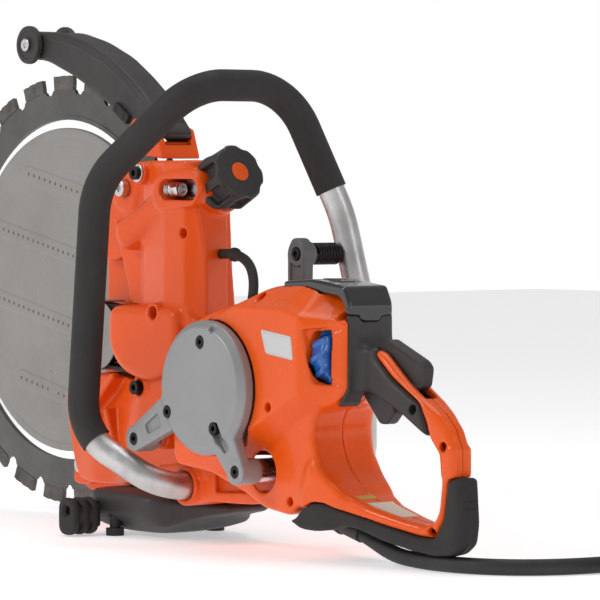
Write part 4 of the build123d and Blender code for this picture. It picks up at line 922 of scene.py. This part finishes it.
def guard(x, y, z):
    """The guard's arched shell, open below, with a raised lip and ribs inside its channel."""
    beside = np.abs(y - RING_Y)
    side = shape2(x, z, GUARD_SIDE, 9.0)
    shell = meet(side, beside - 17.4, 5.5)
    shell = join(shell, meet(meet(hole(x, z, TIP_X, TIP_Z, 13.0), beside - 15.5, 2.0), x + 236), 6.0)
    lip = meet(np.abs(side + 7.5) - 0.8, beside - 18.4)
    above = meet(lip, 432 - z - 0.45 * (x + 150))
    shell = join(shell, above, 1.2)
    channel = meet(np.hypot(x - RING_X, z - RING_Z) - 231, beside - 13.8)
    shell = cut(shell, channel, 1.5)
    for i in range(6):
        a = math.radians(50 + 5.2 * i)
        cx, cz = RING_X + 224 * math.cos(a), RING_Z + 224 * math.sin(a)
        shell = join(shell, meet(meet(hole(x, z, cx, cz, 5.5), between(beside, 12.5, 14.5)), side + 3), 1.0)
    return cut(shell, meet(hole(x, z, TIP_X, TIP_Z, 4.2), beside - 40))


carved("blade_guard", (-278, 32, 358), (-38, 72, 482), 1.2, guard, "dark_plastic", ["guard_shell"], "guard")
BLOCK_SIDE = [(-78, 356), (-42, 352.5), (-52, 381), (-88, 392), (-97, 384)]


def guard_block(x, y, z):
    """The cast block between the tower and the guard, shaped to hold the guard's end."""
    beside = np.abs(y - RING_Y)
    block = meet(shape2(x, z, BLOCK_SIDE, 2.5), beside - 23, 2.0)
    block = cut(block, meet(shape2(x, z, GUARD_SIDE, 9.0) - 0.25, beside - 17.7))
    block = cut(block, meet(np.hypot(x - RING_X, z - RING_Z) - 217, beside - 6), 1.0)
    notch = meet(shape2(x, z, [(-52, 366), (-30, 366), (-30, 400), (-72, 400)], 1.0), beside - 15.4)
    return cut(block, notch, 0.8)


carved("guard_holder_block", (-100, 26, 348), (-38, 78, 396), 0.9, guard_block, "orange_cast",
       ["guard_holder"], "guard")


def guard_clips(x, y, z):
    """The ribbed rubber clip over the holder, and the small latch on the guard's left side."""
    beside = np.abs(y - RING_Y)
    along = (x + 55) * 0.64 - (z - 380) * 0.77
    lift = (x + 55) * 0.77 + (z - 380) * 0.64
    clip = meet(meet(between(along, -9, 9), beside - 15.0, 1.5), between(lift, 1.4, 6.0), 1.2)
    clip = cut(clip, meet(np.abs(along) - 0.8, 5.0 - lift), 0.5)
    turn_x, turn_z = (x + 112) * 0.84 - (z - 397) * 0.55, (x + 112) * 0.55 + (z - 397) * 0.84
    latch = meet(meet(between(turn_x, -13, 13), between(turn_z, -5, 5), 1.5), between(y, 30.6, 35.5), 1.2)
    latch = cut(latch, meet(np.abs(np.abs(turn_x) - 7) - 0.8, y - 31.6), 0.4)
    return join(clip, latch)


carved("guard_clip_pair", (-130, 29, 362), (-36, 70, 410), 0.7, guard_clips, "soft_rubber", ["guard_clips"],
       "guard")


def lathe(name, profile, x, z, material, stands_for, body, around=56):
    """A piece turned round an axis along Y. The profile is a closed loop of (radius, Y) pairs."""
    turns = [2 * math.pi * i / around for i in range(around)]
    vertices = [(x + r * math.cos(a), y, z + r * math.sin(a)) for a in turns for r, y in profile]
    piece = mesh_from(name, vertices, ring_quads(around, len(profile)))
    edges = piece.modifiers.new("edges", "EDGE_SPLIT")
    edges.split_angle = math.radians(38)
    dress(piece, material, stands_for, body)


def tyre(y0, y1):
    """A solid rubber wheel: bore, hub face, dished web and a crowned tread with fine grooves."""
    mid = (y0 + y1) / 2
    half = (y1 - y0) / 2
    near, far = [], []
    for sign, side in ((-1, near), (1, far)):
        side += [(4.15, mid + sign * half), (8.0, mid + sign * half), (8.6, mid + sign * (half - 0.9)),
                 (13.4, mid + sign * (half - 0.9)), (14.2, mid + sign * half), (17.6, mid + sign * half),
                 (18.7, mid + sign * (half - 0.9)), (19.0, mid + sign * (half - 2.2))]
    return near + [(18.5, mid - 0.5), (18.5, mid + 0.5)] + far[::-1]


for side, y in (("left", RING_Y - 21.8), ("right", RING_Y + 21.8)):
    lathe(f"tip_tyre_{side}", tyre(y - 3.4, y + 3.4), TIP_X, TIP_Z, "dark_plastic", [f"tip_wheel_{side}"],
          f"tip_{side}")


def tip_bolt(x, y, z):
    """The axle through both tyres, with a washer head at each end."""
    away = hole(x, z, TIP_X, TIP_Z, 0)
    bolt = meet(away - 4.0, between(y, RING_Y - 27, RING_Y + 27))
    for y0 in (RING_Y - 28.0, RING_Y + 25.6):
        head = meet(away - 6.4, between(y, y0, y0 + 2.4), 0.9)
        bolt = join(bolt, head)
    return cut(bolt, meet(away - 2.6, y - RING_Y + 26.6), 0.3)


carved("tip_axle_bolt", (-270, 23, 458), (-254, 81, 475), 0.6, tip_bolt, "zinc_steel", ["tip_axle"],
       "guard")

# ---- ring and disc ------------------------------------------------------------------------------
SEGMENT_COUNT, SEGMENT_PHASE, SEGMENT_SPAN = 25, 91.0, 9.0
SEGMENT_FOOT, SEGMENT_TOP, SEGMENT_LIMIT = 198.5, 212.4, 212.45
SEGMENT_WIDTH = 4.7


def block_faces(index, size):
    """Quads over the six sides of a block of points, which are numbered by their place in it."""
    faces = []
    for u, v, w, sign in ((0, 1, 2, 1), (0, 2, 1, -1), (1, 2, 0, 1)):
        for a in range(size[u]):
            for b in range(size[v]):
                for c, order in ((0, sign), (size[w], -sign)):
                    corners = [{u: a + da, v: b + db, w: c} for da, db in ((0, 0), (1, 0), (1, 1), (0, 1))]
                    faces.append([index[at[0], at[1], at[2]] for at in corners][::-order])
    return faces


def segments():
    """Sintered segments: rough blocks with a stepped rim, each with its own wear."""
    vertices, faces = [], []
    across, up, thick = 14, 6, 3
    for s in range(SEGMENT_COUNT):
        mid = SEGMENT_PHASE + 360 / SEGMENT_COUNT * s
        index = {}
        worn = RNG.uniform(-0.5, 0.0)
        for i in range(across + 1):
            step = 0.55 if i % 5 in (0, 1) else 0.0
            for j in range(up + 1):
                for k in range(thick + 1):
                    if 0 < i < across and 0 < j < up and 0 < k < thick:
                        continue
                    a = math.radians(mid + (i / across - 0.5) * SEGMENT_SPAN + RNG.normal(0, 0.03))
                    top = SEGMENT_TOP + worn - step
                    r = SEGMENT_FOOT + (top - SEGMENT_FOOT) * j / up + (RNG.normal(0, 0.12) if j else 0.0)
                    r = min(r, SEGMENT_LIMIT)
                    y = RING_Y + (k / thick - 0.5) * SEGMENT_WIDTH + RNG.normal(0, 0.06)
                    index[i, j, k] = len(vertices)
                    vertices.append((RING_X + r * math.cos(a), y, RING_Z + r * math.sin(a)))
        faces += block_faces(index, (across, up, thick))
    piece = mesh_from("diamond_segments", vertices, faces, False)
    dress(piece, "diamond_segment", ["ring_segments"], "ring")


segments()
DISC_R = 160.5
BAR_TILT = math.radians(-12.0)
OUTLET_PITCH, OUTLET_HALF_X, OUTLET_HALF_Z, OUTLET_SIDES = 8.6, 1.25, 1.8, 12
# Each water bar's place beside the ring's centre, in X and Z, and its length.
DISC_BARS = [(-12, 104, 120), (-8, 38, 235), (-12, -32, 225), (-30, -100, 110)]


def bar_ends(dx, dz, length):
    """The centres of a water bar's round ends, from its place beside the ring's centre."""
    cx, cz, half = RING_X + dx, RING_Z + dz, length / 2 - 8.5
    return [(cx + s * half * math.cos(BAR_TILT), cz + s * half * math.sin(BAR_TILT)) for s in (-1, 1)]


FOLDED_TAB = [(-262, 128), (-232, 106), (-228, 110), (-255, 131), (-250, 140), (-256, 143)]


def disc(x, y, z):
    """The splash disc: a thin sheet with a hemmed rim, four raised water bars and a folded tab."""
    beside = np.abs(y - RING_Y)
    away = hole(x, z, RING_X, RING_Z, 0)
    sheet = meet(away - DISC_R, beside - 2.3, 0.8)
    hem = meet(np.abs(away - 156.5) - 3.4, beside - 2.75, 0.6)
    sheet = join(sheet, hem, 0.8)
    for bar in DISC_BARS:
        p, q = bar_ends(*bar)
        sheet = join(sheet, meet(slot2(x, z, p, q, 8.0), beside - 2.95, 0.9), 0.8)
    sheet = join(sheet, meet(shape2(x, z, FOLDED_TAB, 1.0), beside - 2.9, 0.4), 0.5)
    return cut(sheet, hole(x, z, DRIVE_X, DRIVE_Z, 34))


carved("splash_disc", (-390, 48, 62), (-66, 56, 386), 0.8, disc, "disc_sheet", ["centre_disc"])


def water_holes():
    """Small oval outlets along each bar, on both faces."""
    vertices, faces = [], []
    for bar in DISC_BARS:
        (px, pz), (qx, qz) = bar_ends(*bar)
        count = int(math.dist((px, pz), (qx, qz)) / OUTLET_PITCH)
        for i in range(count + 1):
            cx, cz = px + (qx - px) * i / count, pz + (qz - pz) * i / count
            if math.dist((cx, cz), (DRIVE_X, DRIVE_Z)) < 37:
                continue
            for y0, y1 in ((RING_Y - 3.05, RING_Y - 2.6), (RING_Y + 2.6, RING_Y + 3.05)):
                first = len(vertices)
                for y in (y0, y1):
                    for k in range(OUTLET_SIDES):
                        a = 2 * math.pi * k / OUTLET_SIDES
                        vertices.append((cx + OUTLET_HALF_X * math.cos(a), y,
                                         cz + OUTLET_HALF_Z * math.sin(a)))
                faces.append([first + k for k in range(OUTLET_SIDES)])
                faces.append([first + OUTLET_SIDES + k for k in reversed(range(OUTLET_SIDES))])
                for k in range(OUTLET_SIDES):
                    n = (k + 1) % OUTLET_SIDES
                    faces.append([first + k, first + OUTLET_SIDES + k, first + OUTLET_SIDES + n, first + n])
    dress(mesh_from("disc_water_outlets", vertices, faces, False), "outlet_brown")


water_holes()


def pulley_cap(x, y, z):
    """The sheet cap over the drive pulley's left side, with a rolled edge and a dished middle."""
    away = hole(x, z, DRIVE_X, DRIVE_Z, 0)
    cap = meet(away - 33.6, between(y, -14.4, -13.0), 0.6)
    skirt = meet(meet(np.abs(away - 32.9) - 0.7, x - DRIVE_X - 8), between(y, -14.2, 16.0), 0.4)
    cap = join(cap, skirt, 0.6)
    return join(cap, meet(away - 18.0, between(y, -15.6, -13.4), 1.0), 1.0)


carved("pulley_cap", (DRIVE_X - 36, -17, DRIVE_Z - 36), (DRIVE_X + 36, 18, DRIVE_Z + 36), 0.9, pulley_cap,
       "disc_sheet")
BELT_COVER_SIDE = [(73, 198), (73, 116), (222, 104), (253, 130), (253, 168), (222, 190)]
BELT_COVER_SCREWS = [(84, 186), (84, 126), (219, 117), (241, 148), (219, 179)]


def belt_cover(x, y, z):
    """The cover over the belt arm's right side: a raised middle, ribs and screw recesses."""
    side = shape2(x, z, BELT_COVER_SIDE, 8.0)
    cover = meet(side, between(y, 14.2, 18.4), 1.6)
    cover = join(cover, meet(side + 13.0, between(y, 14.2, 20.6), 1.8), 1.2)
    for at in range(5):
        groove = slot2(x, z, (112 + 22 * at, 138), (112 + 22 * at, 172), 2.0)
        cover = cut(cover, meet(groove, 19.4 - y), 0.6)
    for sx, sz in BELT_COVER_SCREWS:
        cover = join(cover, meet(hole(x, z, sx, sz, 6.4), between(y, 14.2, 19.2), 0.8), 1.0)
        cover = cut(cover, meet(hole(x, z, sx, sz, 3.0), 16.6 - y), 0.4)
    return cover


carved("belt_cover", (70, 13, 102), (256, 22, 201), 1.0, belt_cover, "orange_cast")
HOSE_PATH = [(54, 14, 262), (96, 12, 268), (134, 6, 262), (152, -16, 224)]


def hose():
    """The short water hose, bent in one smooth curve, with a collar where it enters the tower."""
    around, along = 20, 36
    vertices = []
    p = [np.array(v, float) for v in HOSE_PATH]
    for i in range(along + 1):
        t = i / along
        s = 1 - t
        place = s ** 3 * p[0] + 3 * t * s ** 2 * p[1] + 3 * t * t * s * p[2] + t ** 3 * p[3]
        run = 3 * s ** 2 * (p[1] - p[0]) + 6 * t * s * (p[2] - p[1]) + 3 * t * t * (p[3] - p[2])
        run /= np.linalg.norm(run)
        side = np.cross(run, (0.0, 1.0, 0.0))
        side /= np.linalg.norm(side)
        up = np.cross(side, run)
        r = 4.6 + (2.0 if 0.30 < t < 0.36 else 0.0)
        for k in range(around):
            a = 2 * math.pi * k / around
            vertices.append(tuple(place + r * (side * math.cos(a) + up * math.sin(a))))
    faces = ring_quads(along + 1, around, closed=False)
    faces += [tuple(reversed(range(around))), tuple(along * around + k for k in range(around))]
    dress(mesh_from("water_hose_bend", vertices, faces), "soft_rubber", ["water_hose"])


hose()

# ---- base skid, bumper and lower bracket --------------------------------------------------------
SKID_SIDE = [(-58, 34), (-52, 20), (-40, 9), (-22, 0.3), (26, 0.3), (52, 7), (86, 21), (133, 29), (133, 35),
             (80, 36), (52, 40), (24, 43.8), (-50, 43.8)]
SKID_FRONT = [(-65, 41), (-63, 24), (-46, 7), (-22, 0.3), (22, 0.3), (46, 7), (63, 24), (65, 41), (40, 46),
              (-40, 46)]
SKID_PLAN = [(-56, -42), (-30, -65), (48, -64), (84, -36), (133, -24), (133, 24), (84, 36), (48, 64),
             (-30, 65), (-56, 42)]
FEET = [(-8.0, -53.0), (9.0, 53.0)]


def skid(x, y, z):
    """The boat-shaped skid, with a groove under its rim, sockets for two feet and a slot for the bumper."""
    hull = meet(meet(shape2(x, z, SKID_SIDE, 12.0), shape2(y, z, SKID_FRONT, 12.0), 6.0),
                shape2(x, y, SKID_PLAN, 14.0), 6.0)
    hull = cut(hull, meet(np.abs(shape2(x, y, SKID_PLAN, 14.0) + 7) - 1.1, 41.8 - z), 1.0)
    for fx, fy in FEET:
        hull = cut(hull, meet(hole(x, y, fx, fy, 9.0), z - 14.2))
        hull = cut(hull, meet(hole(x, y, fx, fy, 5.1), z - 24.5))
    return cut(hull, meet(meet(between(x, -37, -17), y + 61.9), between(z, 7, 31)))


carved("boat_skid", (-60, -68, -1), (136, 68, 47), 1.3, skid, "dark_plastic", ["base_skid"])


BUMPER_BOLT = (-27, 24)
FIN_OUTLINE = [(-40, 6), (-34, 1), (-22, 1), (-14, 6), (-14, 30), (-22, 36), (-34, 36), (-40, 30)]


def bumper(x, y, z):
    """Three rubber fins on a core, with a foot in the skid and a seat for the bolt."""
    block = meet(hole(x, z, -27, 18.5, 11), between(y, -95, -64))
    for i in range(3):
        y0 = -95.9 + 11 * i
        fin = meet(shape2(x, z, FIN_OUTLINE, 6.0), between(y, y0, y0 + 7.4), 3.2)
        block = join(block, fin, 1.5)
    block = join(block, meet(meet(between(x, -36, -18), between(z, 8, 30), 3.0), between(y, -68, -62)), 2.0)
    block = cut(block, meet(hole(x, z, *BUMPER_BOLT, 4.2), y + 88), 1.2)
    return cut(block, meet(hole(x, z, *BUMPER_BOLT, 6.0), y + 94.4), 0.6)


carved("fin_bumper", (-42, -98, -1), (-11, -61, 38), 0.9, bumper, "soft_rubber", ["bumper"])


BRACKET_SIDE = [(62, 70), (62, 46), (100, 40), (200, 42), (262, 50), (266, 66), (230, 78), (140, 78)]
BRACKET_POCKET = [(150, 72), (150, 50), (250, 56), (250, 66), (226, 72)]
TUBE_FRONT, TUBE_REAR = (112, 54), (214, 60)


def lower_bracket(x, y, z):
    """The casting that holds both ends of the front handle's tube under the motor."""
    arm = meet(shape2(x, z, BRACKET_SIDE, 6.0), between(y, -58, 22), 3.0)
    arm = cut(arm, meet(shape2(x, z, BRACKET_POCKET, 4.0), y + 52), 2.0)
    collar = meet(hole(x, z, *TUBE_FRONT, 18.3), between(y, -64, -10), 2.0)
    clamp = meet(meet(between(x, 120, 139), between(z, 61, 79), 4.0), between(y, -61, -41), 3.0)
    clamp = cut(clamp, meet(hole(y, z, -51, 71, 3.4), 136 - x), 0.8)
    bracket = join(join(arm, collar, 4.0), clamp, 2.5)
    bracket = join(bracket, meet(hole(x, z, *TUBE_REAR, 17.3), between(y, 0, 29), 2.0), 4.0)
    bracket = cut(bracket, meet(hole(x, z, *TUBE_REAR, 12.6), 16 - y))
    bracket = cut(bracket, meet(hole(x, z, *TUBE_FRONT, 12.6), y + 14), 0.6)
    return cut(bracket, meet(hole(x, z, *TUBE_FRONT, 14.2), y + 62.6), 0.6)


carved("handle_bracket", (58, -66, 34), (270, 31, 82), 1.1, lower_bracket, "orange_cast", ["lower_bracket"])


DAMPER_SCREW = (193, 265.5)


def damper_arm(x, y, z):
    """The grey arm for the vibration spring, with pockets in its side and a screw recess at its top."""
    outline = [(180, 206), (180, 268), (186, 280), (198, 280), (204, 268), (202, 206)]
    arm = meet(shape2(x, z, outline, 5.0), between(y, 2, 14), 2.0)
    arm = cut(arm, meet(shape2(x, z, outline, 5.0) + 4.5, meet(y - 4.2, z - 258)), 1.0)
    arm = join(arm, meet(meet(between(x, 174, 202), between(z, 206, 214), 1.5), between(y, -4, 24)), 2.0)
    pad = meet(hole(x, z, *DAMPER_SCREW, 11.3), between(y, 2, 18), 1.5)
    arm = join(arm, pad, 2.0)
    return cut(arm, meet(hole(x, z, *DAMPER_SCREW, 6.2), y - 4.5), 0.8)


carved("damper_arm", (172, -6, 204), (207, 26, 282), 0.8, damper_arm, "grey_cast", ["av_bracket"])


def damper_screw(x, y, z):
    """The socket screw in the arm's recess."""
    away = hole(x, z, *DAMPER_SCREW, 0)
    screw = meet(away - 5.6, between(y, 0.6, 6.0), 0.8)
    return cut(screw, meet(away - 2.7, y - 3.4), 0.3)


carved("damper_screw", (186, -1, 259), (200, 8, 273), 0.5, damper_screw, "black_steel")


def slot_hardware(x, y, z):
    """The clamp's bolt as it shows in the slot: two washers, a flanged hex head, and a bright liner."""
    dy, dz = y + 8, z - SLOT_ENDS[0][1]
    away = np.hypot(dy, dz)
    hexagon = np.maximum.reduce([np.abs(dy * math.cos(a) + dz * math.sin(a)) - 6.6
                                 for a in (0.3, 0.3 + math.pi / 3, 0.3 + 2 * math.pi / 3)])
    bolt = meet(away - 4.0, between(x, 14, 34))
    for x0, x1, r in ((19, 21, 9.3), (21.4, 23, 8.4), (23.4, 26.4, 7.9)):
        bolt = join(bolt, meet(away - r, between(x, x0, x1), 0.5))
    head = meet(meet(hexagon, between(x, 26, 36.5)), (away - 7.4 + (x - 35.5) * 0.8) * 0.75, 0.5)
    bolt = join(bolt, cut(head, meet(away - 3.4, 35.4 - x), 0.4))
    liner = meet(slot2(x, z, *SLOT_ENDS, 9.6), between(y, 1.6, 3.4))
    return join(bolt, liner)


carved("slot_hardware", (12, -18, 312), (78, 5, 335), 0.55, slot_hardware, "zinc_steel", ["slot_bolt"])


def axle_end(x, y, z):
    """The bright end of the upper roller axle, standing proud of the casting."""
    end = meet(hole(x, z, *ROLLERS[0], 7.9), between(y, -1, 20), 1.2)
    return cut(end, meet(hole(x, z, *ROLLERS[0], 3.2), y - 2), 0.5)


carved("upper_axle_end", (ROLLERS[0][0] - 9, -2, ROLLERS[0][1] - 9),
       (ROLLERS[0][0] + 9, 21, ROLLERS[0][1] + 9), 0.5, axle_end, "zinc_steel")


def screw_washer(x, y, z):
    """The washer under the tower's upper screw."""
    away = hole(x, z, *TOWER_SCREWS[0], 0)
    return cut(meet(away - 8.6, between(y, -20.2, -17.4), 0.6), away - 4.4)


carved("screw_washer", (-28, -21, 329), (-8, -17, 349), 0.5, screw_washer, "zinc_steel")


def connector(x, y, z):
    """The lead's connector: a ribbed barrel, a fluted collar, three pins and a ribbed strain relief."""
    away = hole(x, z, PLUG_X, PLUG_Z, 0)
    turn = np.arctan2(z - PLUG_Z, x - PLUG_X)
    ribs = 0.5 * np.cos(24 * turn) * (between(y, PLUG_Y - 20, PLUG_Y + 18) < 0)
    barrel = meet(away - 19.4 - ribs, between(y, PLUG_Y - 31, PLUG_Y + 31), 3.0)
    collar = meet(away - 22.2 - 0.7 * np.cos(12 * turn), between(y, PLUG_Y - 44, PLUG_Y - 28.5), 2.0)
    mouth = meet(away - 17.0, y - PLUG_Y + 38)
    tail = meet(away - 10.9 + 0.14 * np.maximum(y - PLUG_Y - 31, 0) - 0.5 * np.cos(1.6 * (y - PLUG_Y)),
                between(y, PLUG_Y + 28, PLUG_Y + 53), 1.0)
    body = cut(join(join(barrel, collar), tail, 2.0), mouth, 0.6)
    for px, pz in ((-7, 4), (7, 4), (0, -8)):
        pin = hole(x, z, PLUG_X + px, PLUG_Z + pz, 2.4)
        body = join(body, meet(pin, between(y, PLUG_Y - 42, PLUG_Y - 36)))
    return body


carved("lead_connector", (COIL_X + 56, COIL_Y - 110, 37), (COIL_X + 104, COIL_Y - 9, 86), 1.0, connector,
       "dark_plastic", ["cable_plug"])


def sticker(name, material, corners, top):
    """A thin blank sticker on the bar's upper face, draped over its curve."""
    across, along = 8, 14
    vertices, faces = [], []
    for i in range(along + 1):
        for j in range(across + 1):
            u, v = i / along, j / across
            ends = [[p + (q - p) * u for p, q in zip(corners[k], corners[k + 1])] for k in (0, 2)]
            x, y = (a + (b - a) * v for a, b in zip(*ends))
            vertices.append((x, y, top(x, y)))
    row = across + 1
    for i in range(along):
        for j in range(across):
            faces.append((i * row + j, (i + 1) * row + j, (i + 1) * row + j + 1, i * row + j + 1))
    count = len(vertices)
    vertices += [(x, y, z - 0.5) for x, y, z in vertices]
    faces += [tuple(count + v for v in reversed(face)) for face in faces]
    rim = list(range(row)) + [i * row + across for i in range(1, along + 1)]
    rim += [along * row + j for j in reversed(range(across))] + [i * row for i in reversed(range(1, along))]
    for a, b in zip(rim, rim[1:] + rim[:1]):
        faces.append((b, a, count + a, count + b))
    piece = mesh_from(name, vertices, [face[::-1] for face in faces])
    dress(piece, material)


def bar_top(x, y):
    """The height just above the bar's upper face."""
    heights = np.linspace(90, 30, 241)
    here = rear_bar(np.full(241, float(x)), np.full(241, float(y)), heights)
    inside = np.nonzero(here.ravel() < 0.0)[0]
    return float(heights[inside[0]]) + 0.25 if len(inside) else 50.0


sticker("bar_sticker_front", "sticker_gold", [(338, -68), (360, -62), (338, -42), (360, -42)], bar_top)
sticker("bar_sticker_rear", "sticker_paper", [(366, -60), (406, -54), (366, -31), (406, -35)], bar_top)


# ---- lead ----------------------------------------------------------------------------------------
lead = power_lead()
